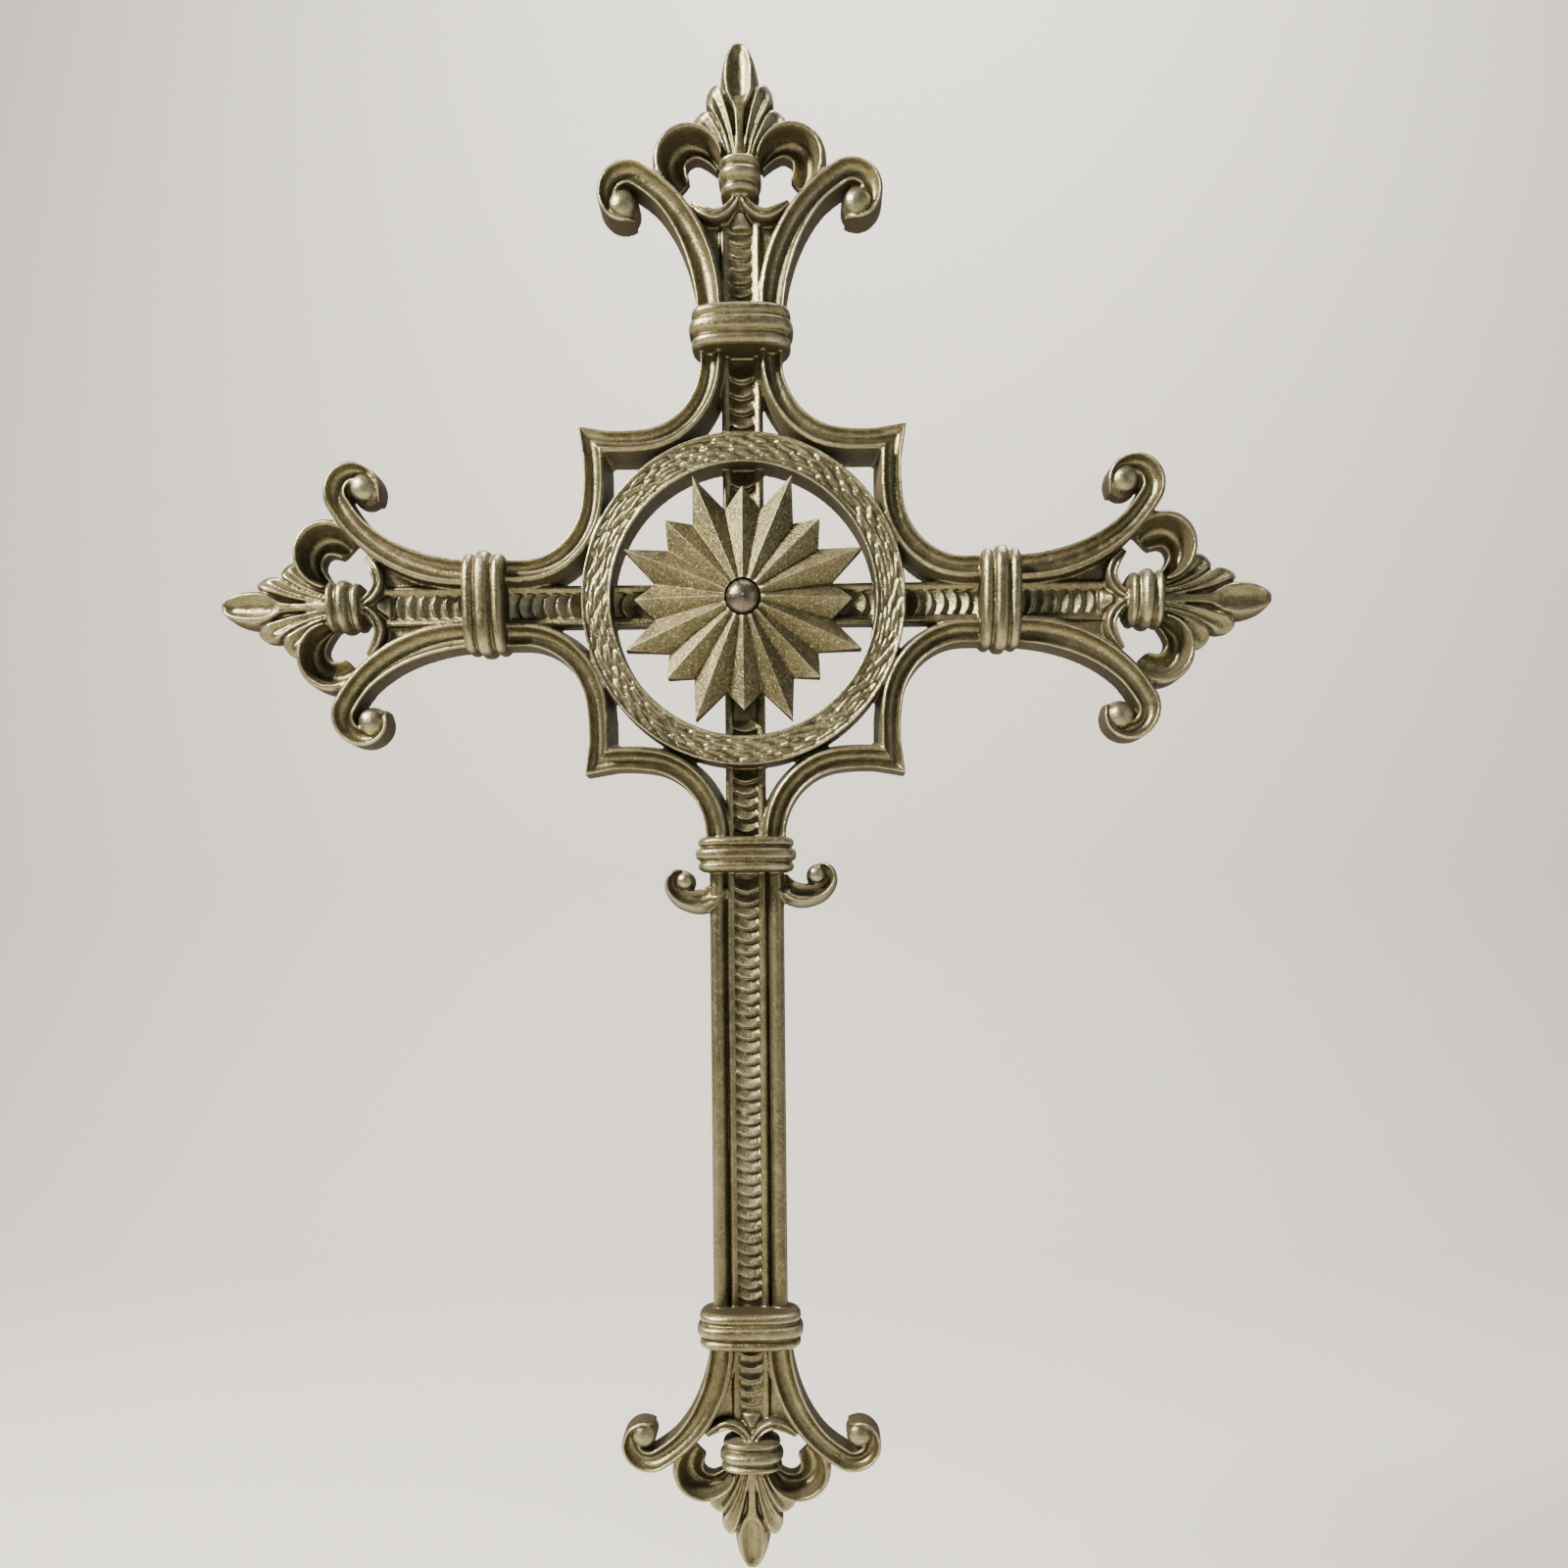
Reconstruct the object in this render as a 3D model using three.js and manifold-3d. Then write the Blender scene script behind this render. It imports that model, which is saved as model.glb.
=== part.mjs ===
import * as THREE from 'three';
import Module from 'manifold-3d';

const wasm = await Module();
wasm.setup();

// Driving sizes in millimetres. The cross lies flat on the plane y = 0 with its front towards -y.
// "Height" below always means the distance in front of that flat back.
const RING_OUTER = 63.9;
const RING_INNER = 51.8;
const RING_HEIGHT = 14.5;
const ARM_COLLAR = 98.6;
const LOW_COLLAR = 288.7;
const END_LENGTH = 109.8;
const BAR_HALF = 8;
const BAR_HEIGHT = 8;
const PANEL_HALF = 4.9;
const PANEL_HEIGHT = 5.4;
const SHAFT_HALF = 15;
const STRIP_WIDTH = 9;
const STRIP_HEIGHT = 14.2;
const KNOP_CENTRE = 59.6;
const CORNER_NARROWING = 0.955;
const FIT_GAP = 0.3;

// For each end, clockwise from the top: how tight its volutes curl, how wide its knop is, and the
// place, half width, front and length of its collar.
const CURLS = [8.6, 8.6, 7.4, 8.6];
const KNOP_WIDTHS = [0.6, 0.84, 0.97, 0.74];
const COLLARS = [
  [ARM_COLLAR + 3, 20.2, 21, 15.4],
  [ARM_COLLAR + 2, 20.2, 21, 15.4],
  [LOW_COLLAR + 4.2, 22, 22, 15.6],
  [ARM_COLLAR + 3, 20.2, 21, 16.4],
];
const HEAD_COLLAR = [ARM_COLLAR, 20.2, 21, 13.6];

const RAYS = 16;
const RAY_LONG = 50.2;
const RAY_SHORT = 42.6;
const RAY_NOTCH = 35.5;
const ROSETTE_BACK = BAR_HEIGHT + FIT_GAP;
const ROSETTE_EDGE = 15;
const ROSETTE_HUB = 20;
const EDGE_PLEAT = 4;
const HUB_PLEAT = 1.8;
const RIVET_HEAD = 6.5;
const RIVET_SHANK = 3;
const RIVET_TOP = 22.5;
const RIVET_SEAT = 16.6;
const RIVET_DEPTH = 3;

const degrees = (angle) => (angle * Math.PI) / 180;
const mix = (start, end, share) => start + (end - start) * share;
const clean = (value) => (Math.abs(value) < 1e-6 ? 0 : value);

// A plan point (across, along) at a height, as a point in space.
const place = (point, height) => [point[0], -height, point[1]];

// Closed body through a row of loops that all have the same number of points. A row that meets
// its own start again needs no end faces; the others are closed with the flat shape of the loop.
function loft(loops, { joined = false, endShape = null } = {}) {
  const count = loops[0].length;
  const spans = joined ? loops.length : loops.length - 1;
  const triangles = [];
  for (let i = 0; i < spans; i += 1) {
    const here = i * count;
    const next = ((i + 1) % loops.length) * count;
    for (let j = 0; j < count; j += 1) {
      const k = (j + 1) % count;
      triangles.push([here + j, here + k, next + k], [here + j, next + k, next + j]);
    }
  }
  if (!joined) {
    const flat = endShape.map(([across, up]) => new THREE.Vector2(across, up));
    const order = THREE.ShapeUtils.isClockWise(flat) ? 1 : -1;
    const last = (loops.length - 1) * count;
    for (const [a, b, c] of THREE.ShapeUtils.triangulateShape(flat, [])) {
      triangles.push(order > 0 ? [a, b, c] : [c, b, a]);
      triangles.push(order > 0 ? [last + c, last + b, last + a] : [last + a, last + b, last + c]);
    }
  }
  const points = loops.flat();
  return bodyOf(points, triangles);
}

// Signed volume tells whether the faces look outwards; they are turned round if they don't.
function bodyOf(points, triangles) {
  let volume = 0;
  for (const [a, b, c] of triangles) {
    const [p, q, r] = [points[a], points[b], points[c]];
    volume += p[0] * (q[1] * r[2] - q[2] * r[1]);
    volume += p[1] * (q[2] * r[0] - q[0] * r[2]);
    volume += p[2] * (q[0] * r[1] - q[1] * r[0]);
  }
  const faces = volume > 0 ? triangles : triangles.map(([a, b, c]) => [a, c, b]);
  return new wasm.Manifold(
    new wasm.Mesh({
      numProp: 3,
      vertProperties: new Float32Array(points.flat()),
      triVerts: new Uint32Array(faces.flat()),
    }),
  );
}

// Strip of metal that follows a row of stations. Each station has its two edges in plan; the
// section is a list of (share of the way from the first edge to the second, height) pairs.
function strip(stations, section) {
  const loops = stations.map(({ from, to, lift = 1 }) =>
    section.map(([share, height]) =>
      place([mix(from[0], to[0], share), mix(from[1], to[1], share)], height * lift),
    ),
  );
  return loft(loops, { endShape: section.map(([share, height]) => [share * STRIP_WIDTH, height]) });
}

// Station of a strip from its middle point, the direction it runs in, and its half width.
function station(middle, heading, half, lift = 1) {
  const side = [Math.sin(heading) * half, -Math.cos(heading) * half];
  return {
    from: [middle[0] + side[0], middle[1] + side[1]],
    to: [middle[0] - side[0], middle[1] - side[1]],
    lift,
  };
}

// Stations along a smooth line through a few middle points, each with its own half width.
function curvedStations(middles, halves, steps, liftAt = () => 1) {
  const points = middles.map(([across, along]) => new THREE.Vector3(across, along, 0));
  const line = new THREE.CatmullRomCurve3(points);
  const widths = new THREE.CatmullRomCurve3(halves.map((half, i) => new THREE.Vector3(i, half, 0)));
  const stations = [];
  for (let i = 0; i <= steps; i += 1) {
    const share = i / steps;
    const point = line.getPoint(share);
    const run = line.getTangent(share);
    const half = widths.getPoint(share).y;
    stations.push(station([point.x, point.y], Math.atan2(run.y, run.x), half, liftAt(share)));
  }
  return stations;
}

// Dome-fronted body across an arm, drawn in again towards its flat back by the angle "tuck".
// Each profile entry gives its place along the arm, its half width and how far it stands up.
function bandedBody(profile, squareness, tuck = 34, segments = 7) {
  const arch = [];
  const curve = (value) => Math.sign(value) * Math.abs(value) ** squareness;
  const below = curve(Math.sin(degrees(tuck)));
  for (let i = 0; i <= segments; i += 1) {
    const angle = degrees(mix(-tuck, 180 + tuck, i / segments));
    arch.push([clean(curve(Math.cos(angle))), clean((curve(Math.sin(angle)) + below) / (1 + below))]);
  }
  const loops = profile.map(([along, half, front]) =>
    arch.map(([across, up]) => place([across * half, along], up * front)),
  );
  return loft(loops, { endShape: arch });
}

// Round solid standing on the back plane, turned from (radius, height) pairs.
function turned(centre, profile, segments) {
  const body = wasm.Manifold.revolve([profile], segments);
  return body.rotate([90, 0, 0]).translate([centre[0], 0, centre[1]]);
}

// Strip sections, as (share of the width, height) pairs. The gutter has a low rim on its first
// edge and a high one on its second, whose foot stands out by a share of the strip's width.
const gutter = (foot) => [
  [0, 0],
  [0.06, 12.5],
  [0.46, 9.8],
  [0.86, STRIP_HEIGHT],
  [1 + foot, 0],
];
const SPOON = [
  [0, 0],
  [0.12, 9.6],
  [0.5, 6.4],
  [0.88, 9.6],
  [1, 0],
];
const SMALL_GUTTER = [
  [0, 0],
  [0.08, 8],
  [0.32, 11.8],
  [0.64, 8],
  [1, 8.8],
  [1, 0],
];
const RIDGE = [
  [0, 0],
  [0.25, 11.6],
  [0.75, 11.6],
  [1, 0],
];

// The long line of one bar with its two fillets and the sunk panel between them.
function barBody(start, end) {
  const half = [
    [BAR_HALF, 0],
    [BAR_HALF, BAR_HEIGHT - 1.2],
    [BAR_HALF - 0.8, BAR_HEIGHT],
    [PANEL_HALF, BAR_HEIGHT],
    [PANEL_HALF, PANEL_HEIGHT],
  ];
  return extrudedAlong(start, end, half, half);
}

// The shaft below the crossing: a rounded flank, a groove, then the bar in the middle.
function shaftBody() {
  const flank = (outer) => [
    [outer, 0],
    [outer, 5],
    [outer - 0.7, 8],
    [outer - 2.9, 9.8],
    [outer - 5.4, 8.8],
    [BAR_HALF + 0.7, 5],
  ];
  return extrudedAlong(-LOW_COLLAR, -ARM_COLLAR, flank(SHAFT_HALF + 0.5), flank(SHAFT_HALF));
}

// Straight upright body whose half outline may change in size from its lower to its upper end.
function extrudedAlong(low, high, lowHalf, highHalf) {
  const loopAt = (along, half) => [
    ...half.map(([across, height]) => place([across, along], height)),
    ...[...half].reverse().map(([across, height]) => place([-across, along], height)),
  ];
  const shape = [...highHalf, ...[...highHalf].reverse().map(([across, height]) => [-across, height])];
  return loft([loopAt(low, lowHalf), loopAt(high, highHalf)], { endShape: shape });
}

// One row of overlapping scales in a panel, as a single toothed strip. Each scale rises to a
// pointed free edge and drops to the next one; "lean" is +1 where the free edges point up the
// bar and -1 where they point down.
function scaleRow(start, end, pitch, lean) {
  const length = Math.abs(end - start);
  const count = Math.round(length / pitch);
  const step = length / count;
  const first = lean > 0 ? Math.min(start, end) : Math.max(start, end);
  const sag = 0.4 * step;
  const foot = PANEL_HEIGHT - 0.4;
  const loops = [];
  const loopAt = (along, edgeHeight, crownHeight) => {
    const side = first + lean * (along - sag);
    loops.push([
      place([PANEL_HALF, side], foot),
      place([PANEL_HALF, side], edgeHeight),
      place([0, first + lean * along], crownHeight),
      place([-PANEL_HALF, side], edgeHeight),
      place([-PANEL_HALF, side], foot),
    ]);
  };
  for (let i = 0; i < count; i += 1) {
    loopAt(sag + i * step, PANEL_HEIGHT + 0.3, PANEL_HEIGHT + 0.4);
    loopAt(sag + (i + 1) * step - 0.25, PANEL_HEIGHT + 1.6, PANEL_HEIGHT + 2.1);
  }
  const shape = [
    [PANEL_HALF, 0],
    [PANEL_HALF, 1],
    [0, 1.2],
    [-PANEL_HALF, 1],
    [-PANEL_HALF, 0],
  ];
  return loft(loops, { endShape: shape });
}

// Collar of three rings round the bundle of bar and strips.
function collar(centre, half, front, length) {
  const rings = [
    [-0.5, 0.86],
    [-0.36, 0.96],
    [-0.21, 0.91],
    [-0.07, 1],
    [0.07, 1],
    [0.21, 0.91],
    [0.36, 0.96],
    [0.5, 0.86],
  ];
  return bandedBody(
    rings.map(([along, size]) => [centre + along * length, half * size, front * size]),
    0.62,
  );
}

// Curved strip that leaves a collar beside the bar, flares out and rolls up into a volute. The
// volute's radius shrinks to "curl" at its inner end.
const VOLUTE = [43.5, 52.9];
const VOLUTE_OUTER = 13.2;
const VOLUTE_EYE = [45.2, 50.4];
function scrollStations(curl) {
  const half = STRIP_WIDTH / 2;
  const joinAngle = 120;
  const joinRadius = VOLUTE_OUTER - half;
  const startAcross = BAR_HALF + half - 1.2;
  const cosine = Math.cos(degrees(joinAngle));
  const flare = (VOLUTE[0] - startAcross + joinRadius * cosine) / (1 + cosine);
  const flareStart = VOLUTE[1] + (joinRadius - flare) * Math.sin(degrees(joinAngle));
  const stations = [station([startAcross, -2], Math.PI / 2, half)];
  const flareSteps = 4;
  for (let i = 0; i <= flareSteps; i += 1) {
    const turn = degrees((60 * i) / flareSteps);
    const middle = [startAcross + flare * (1 - Math.cos(turn)), flareStart + flare * Math.sin(turn)];
    // The strip is fuller on its outer side half way along the flare.
    const belly = 2 * Math.sin(Math.PI * Math.min(1, middle[1] / 50));
    const { from, to } = station(middle, Math.PI / 2 - turn, half);
    const fuller = 1 + belly / STRIP_WIDTH;
    stations.push({ from: [mix(to[0], from[0], fuller), mix(to[1], from[1], fuller)], to });
  }
  const rollSteps = 6;
  for (let i = 1; i <= rollSteps; i += 1) {
    const share = i / rollSteps;
    const angle = degrees(joinAngle - 235 * share);
    const wide = mix(half, 2.2, share ** 1.4);
    const radius = mix(VOLUTE_OUTER, curl, share ** 1.3) - wide;
    const middle = [VOLUTE[0] + radius * Math.cos(angle), VOLUTE[1] + radius * Math.sin(angle)];
    stations.push(station(middle, angle - Math.PI / 2, wide, mix(1, 0.9, share)));
  }
  return stations;
}

// Ball in the eye of the volute and the low floor that ties it to the strip.
function voluteEye(curl) {
  const floor = curl - 2.2;
  const profile = [[0, 0], [floor, 0], [floor, 8.4], [4.4, 8.4], [3.4, 13.4], [0, 14.6]];
  return turned(VOLUTE_EYE, profile, 6);
}

// Low web that closes the wedge between the bar and the flaring strip.
function webPlate() {
  const outline = [
    [-9, 4],
    [9, 4],
    [16.4, 44.5],
    [-16.4, 44.5],
  ];
  const bottom = outline.map((point) => place(point, 0));
  const top = outline.map((point) => place(point, 6.5));
  return loft([bottom, top], { endShape: outline });
}

// Small arched leaf between the neck of the knop and the inner edge of the scroll.
function earLeaf() {
  const middles = [
    [0.6, 53],
    [4, 48.2],
    [10, 45.8],
    [14.6, 47.4],
    [19, 51.2],
  ];
  return strip(curvedStations(middles, [1.6, 2.3, 2.6, 2.5, 1.4], 4), RIDGE);
}

// Hollow side leaf that swings out from the knop and back against the scroll.
function sideLeaf() {
  const centre = [20, 65.8];
  const outerRadius = 13.5;
  const innerEdge = [
    [9, 64.5],
    [13, 67.4],
    [16.4, 68.8],
    [19.2, 67.9],
    [20.4, 65.6],
    [19.6, 61.6],
  ];
  const stations = innerEdge.map((inner, i) => {
    const angle = degrees(172 - (i * 232) / (innerEdge.length - 1));
    const outer = [centre[0] + outerRadius * Math.cos(angle), centre[1] + outerRadius * Math.sin(angle)];
    return { from: outer, to: inner, lift: 1 };
  });
  return strip(stations, [
    [0, 0],
    [0.05, 12.4],
    [0.22, 12.6],
    [0.46, 3.6],
    [1, 6.2],
    [1, 0],
  ]);
}

// The four side lobes of the palmette as one fluted fan. Its columns run from the knop outward:
// the foot of the outer edge, then for each lobe its two rims with a shallow flute between them,
// and a groove before the next lobe.
function palmetteFan() {
  const rim = 9.6;
  const flute = 8.4;
  const groove = 6.4;
  const right = [
    { start: [6.3, 64.4], bend: [9.2, 72.2], end: [18.4, 79.8], height: rim },
    { start: [5, 65.5], bend: [7.4, 75], end: [17.2, 84.4], height: flute },
    { start: [4.2, 66], bend: [6, 76.4], end: [13.6, 86.4], height: rim },
    { start: [3.8, 66.2], bend: [5.4, 77], end: [11.2, 85], height: groove },
    { start: [3.4, 66.6], bend: [5.2, 78], end: [12.9, 88.8], height: rim },
    { start: [2.4, 67], bend: [4, 80], end: [11.9, 94], height: flute },
    { start: [1.6, 67.3], bend: [2.8, 81.4], end: [8.8, 96.2], height: rim },
  ];
  const mirrored = ([across, along]) => [-across, along];
  const left = [...right].reverse().map(({ start, bend, end, height }) => ({
    start: mirrored(start),
    bend: mirrored(bend),
    end: mirrored(end),
    height,
  }));
  const rows = [0, 0.45, 0.8, 1];
  const blunt = [1, 1, 1, 0.5];
  const between = (from, to, share) => from.map((value, i) => mix(value, to[i], share));
  const loops = [...right, ...left].map(({ start, bend, end, height }) => {
    const top = rows.map((share, i) => {
      const point = between(between(start, bend, share), between(bend, end, share), share);
      return place(point, height * blunt[i]);
    });
    return [place(start, 0), ...top, place(end, 0)];
  });
  const shape = [[0, 0], ...rows.map((share, i) => [share, blunt[i]]), [1, 0]];
  return loft(loops, { endShape: shape });
}

// Hollow spoon-shaped lobe in the middle of the palmette.
function palmetteTip() {
  const stations = [
    [66, 1.8, 1],
    [86, 2.6, 0.98],
    [91, 6.6, 1.04],
    [97, 7.6, 1.08],
    [104.5, 5.7, 1.04],
    [END_LENGTH, 1.2, 0.7],
  ];
  return strip(
    stations.map(([along, half, lift]) => station([0, along], Math.PI / 2, half, lift)),
    SPOON,
  );
}

// Three-ringed knop between the ear leaves and the palmette; "width" scales it across the arm.
function knop(width) {
  const rings = [
    [-7.6, 9.4, 11.5],
    [-5.2, 12.6, 15.6],
    [-3.3, 11.4, 14.2],
    [-0.4, 13.8, 17],
    [2.6, 11.8, 14.8],
    [4.8, 13.4, 16.4],
    [6.9, 10.4, 12.4],
  ];
  return bandedBody(
    rings.map(([along, half, front]) => [KNOP_CENTRE + along, half * width, front]),
    0.75,
  );
}

// The whole ornament of one end, with the arm's collar at the origin and the tip along +z.
function endOrnament(curl, knopWidth) {
  const side = [strip(scrollStations(curl), gutter(0)), voluteEye(curl), earLeaf(), sideLeaf()];
  const right = wasm.Manifold.union(side);
  const neck = bandedBody([[43, 5.2, 9], [50, 5.2, 10], [54.5, 6, 11]], 0.8, 0, 6);
  const centre = [palmetteFan(), palmetteTip(), knop(knopWidth), neck, webPlate()];
  return wasm.Manifold.union([right, right.mirror([1, 0, 0]), ...centre]);
}

// Strip that sweeps from one arm's collar out to the sharp corner between two arms and back to
// the next arm's collar. The two halves meet in a mitre on the diagonal.
function cornerStrip() {
  const tight = 26;
  const wide = 80;
  const straight = 91.5;
  const tightCentre = [BAR_HALF + STRIP_WIDTH - 0.3 + tight, straight];
  const bend = 82;
  const turnPoint = degrees(180 + bend);
  const wideCentre = [
    tightCentre[0] + (tight - wide) * Math.cos(turnPoint),
    tightCentre[1] + (tight - wide) * Math.sin(turnPoint),
  ];
  const edges = (centre, radius, angle, width) => ({
    from: [centre[0] + radius * Math.cos(angle), centre[1] + radius * Math.sin(angle)],
    to: [centre[0] + (radius + width) * Math.cos(angle), centre[1] + (radius + width) * Math.sin(angle)],
  });
  const half = [];
  half.push(edges([tightCentre[0], ARM_COLLAR], tight, Math.PI, STRIP_WIDTH));
  const steps = 5;
  for (let i = 0; i <= steps; i += 1) {
    half.push(edges(tightCentre, tight, degrees(180 + (bend * i) / steps), STRIP_WIDTH));
  }
  half.push(edges(wideCentre, wide, degrees(180 + bend + 5), STRIP_WIDTH - 0.2));
  const mitre = { from: [67.1, 67.1], to: [56.2, 56.2] };
  const swap = ([across, along]) => [along, across];
  const mirrored = [...half].reverse().map(({ from, to }) => ({ from: swap(from), to: swap(to) }));
  return strip([...half, mitre, ...mirrored], gutter(0.25));
}

// Wreath ring: a raised bead at each edge and a slightly domed band between them.
function wreathRing() {
  const section = [
    [RING_OUTER, 0],
    [RING_OUTER - 0.5, RING_HEIGHT],
    [RING_OUTER - 2.6, RING_HEIGHT - 1],
    [RING_INNER + 2.6, RING_HEIGHT - 1],
    [RING_INNER + 0.5, RING_HEIGHT],
    [RING_INNER, 0],
  ];
  const segments = 32;
  const loops = [];
  for (let i = 0; i < segments; i += 1) {
    const angle = (2 * Math.PI * i) / segments;
    const out = [Math.cos(angle), Math.sin(angle)];
    loops.push(section.map(([radius, height]) => place([radius * out[0], radius * out[1]], height)));
  }
  return loft(loops, { joined: true });
}

// Small scroll under the collar at the head of the shaft, for the right-hand side.
function smallScroll() {
  const middles = [
    [12.8, -108.8],
    [16.4, -112.8],
    [22.5, -115],
    [29.6, -113.8],
    [33.8, -110],
    [34.2, -106],
    [32.2, -103.4],
    [29.6, -102.8],
  ];
  const halves = [4.4, 5, 5, 4.1, 3, 2.4, 1.9, 1.2];
  const rise = (share) => Math.min(1, 0.68 + 2 * share);
  const ball = turned([28.2, -106.5], [[0, 5], [3.3, 5], [3.3, 9.4], [1.8, 11.8], [0, 12.4]], 7);
  const floor = turned([29, -107], [[0, 0], [4.8, 0], [4.8, 7], [0, 8.4]], 7);
  return [strip(curvedStations(middles, halves, 8, rise), SMALL_GUTTER), ball, floor];
}

function crossCasting() {
  const parts = [];
  const neckEnd = ARM_COLLAR + 48;
  parts.push(barBody(-(LOW_COLLAR + 48), neckEnd));
  const across = barBody(-neckEnd, neckEnd).rotate([0, 90, 0]);
  parts.push(across, shaftBody());

  const ringEdge = RING_OUTER - 1;
  const collarEdge = ARM_COLLAR - 6;
  const outerStart = ARM_COLLAR + 9;
  const outerEnd = ARM_COLLAR + 43;
  const upright = [
    scaleRow(ringEdge, collarEdge, 5.8, -1),
    scaleRow(outerStart, outerEnd, 5, -1),
    scaleRow(-ringEdge, -collarEdge, 5.2, -1),
    scaleRow(-ARM_COLLAR - 8, -LOW_COLLAR + 8, 5, -1),
    scaleRow(-LOW_COLLAR - 11, -LOW_COLLAR - 42, 5, -1),
    scaleRow(RING_INNER + 1, RING_INNER - 12, 5.6, -1),
    scaleRow(-RING_INNER - 1, -RING_INNER + 8, 5.6, -1),
  ];
  const levelHalf = wasm.Manifold.union([
    scaleRow(RING_INNER - 12, RING_INNER + 1, 5.2, 1),
    scaleRow(ringEdge, collarEdge, 5, 1),
    scaleRow(outerStart, outerEnd, 5, 1),
  ]);
  parts.push(...upright, levelHalf.rotate([0, 90, 0]), levelHalf.rotate([0, -90, 0]));

  const corner = cornerStrip();
  for (let quarter = 0; quarter < 4; quarter += 1) {
    const angle = quarter * 90;
    const reach = quarter === 2 ? LOW_COLLAR : ARM_COLLAR;
    const ornament = endOrnament(CURLS[quarter], KNOP_WIDTHS[quarter]);
    parts.push(collar(...COLLARS[quarter]).rotate([0, angle, 0]));
    parts.push(ornament.translate([0, 0, reach]).rotate([0, angle, 0]));
    parts.push(corner.rotate([0, angle, 0]).scale([CORNER_NARROWING, 1, 1]));
  }
  parts.push(collar(...HEAD_COLLAR).rotate([0, 180, 0]));
  parts.push(wreathRing());
  // The left one was cast a little lower and nearer the shaft than the right one.
  for (const piece of smallScroll()) {
    parts.push(piece, piece.mirror([1, 0, 0]).translate([3.4, 0, -2.3]));
  }
  const hole = RIVET_SHANK + FIT_GAP;
  const holeProfile = [[0, RIVET_DEPTH], [hole, RIVET_DEPTH], [hole, RING_HEIGHT], [0, RING_HEIGHT]];
  const rivetHole = turned([0, 0], holeProfile, 16);
  return wasm.Manifold.union(parts).subtract(rivetHole);
}

// Pleated star. Every loop has one point on each ridge and one in each valley.
function sunburstRosette() {
  const points = RAYS * 2;
  const loopAt = (radiusOf, heightOf) => {
    const loop = [];
    for (let i = 0; i < points; i += 1) {
      const angle = (2 * Math.PI * i) / points;
      loop.push(place([radiusOf(i) * Math.cos(angle), radiusOf(i) * Math.sin(angle)], heightOf(i)));
    }
    return loop;
  };
  const outline = (i) => {
    if (i % 2 === 1) return RAY_NOTCH;
    return i % 4 === 0 ? RAY_SHORT : RAY_LONG;
  };
  const ridge = (high, low) => (i) => (i % 2 === 0 ? high : low);
  const hub = RIVET_HEAD + 2.4;
  const star = loft(
    [
      loopAt(outline, () => ROSETTE_BACK),
      loopAt(outline, ridge(ROSETTE_EDGE, ROSETTE_EDGE - EDGE_PLEAT)),
      loopAt(() => hub, ridge(ROSETTE_HUB, ROSETTE_HUB - HUB_PLEAT)),
    ],
    { endShape: loopAt(outline, () => 0).map(([across, , along]) => [across, along]) },
  );
  const seat = RIVET_SEAT - FIT_GAP;
  const bore = RIVET_SHANK + FIT_GAP;
  const recess = RIVET_HEAD + 0.7;
  const top = ROSETTE_HUB + 5;
  const hole = [[0, 0], [bore, 0], [bore, seat], [recess, seat], [recess, top], [0, top]];
  return star.subtract(turned([0, 0], hole, 12));
}

function rosetteRivet() {
  const foot = RIVET_DEPTH + FIT_GAP;
  const rim = RIVET_SEAT + 1.6;
  const profile = [[0, foot], [RIVET_SHANK, foot], [RIVET_SHANK, RIVET_SEAT], [RIVET_HEAD, RIVET_SEAT]];
  const steps = 4;
  for (let i = 0; i <= steps; i += 1) {
    const angle = degrees((90 * i) / steps);
    profile.push([clean(RIVET_HEAD * Math.cos(angle)), rim + (RIVET_TOP - rim) * Math.sin(angle)]);
  }
  return turned([0, 0], profile, 12);
}

function meshOf(name, body, colour, roughness, metalness) {
  const { vertProperties, triVerts } = body.getMesh();
  const geometry = new THREE.BufferGeometry();
  geometry.setAttribute('position', new THREE.BufferAttribute(new Float32Array(vertProperties), 3));
  geometry.setIndex(new THREE.BufferAttribute(new Uint32Array(triVerts), 1));
  const material = new THREE.MeshStandardMaterial({ color: colour, roughness, metalness });
  const mesh = new THREE.Mesh(geometry, material);
  mesh.name = name;
  return mesh;
}

const cross = new THREE.Group();
cross.add(meshOf('cross_casting', crossCasting(), '#7d7349', 0.45, 0.8));
cross.add(meshOf('sunburst_rosette', sunburstRosette(), '#857a4e', 0.55, 0.75));
cross.add(meshOf('rosette_rivet', rosetteRivet(), '#6f6558', 0.35, 0.85));
export default cross;
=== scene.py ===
import math
import random

import bmesh
import bpy
import numpy as np
from mathutils import Matrix, Vector


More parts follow.
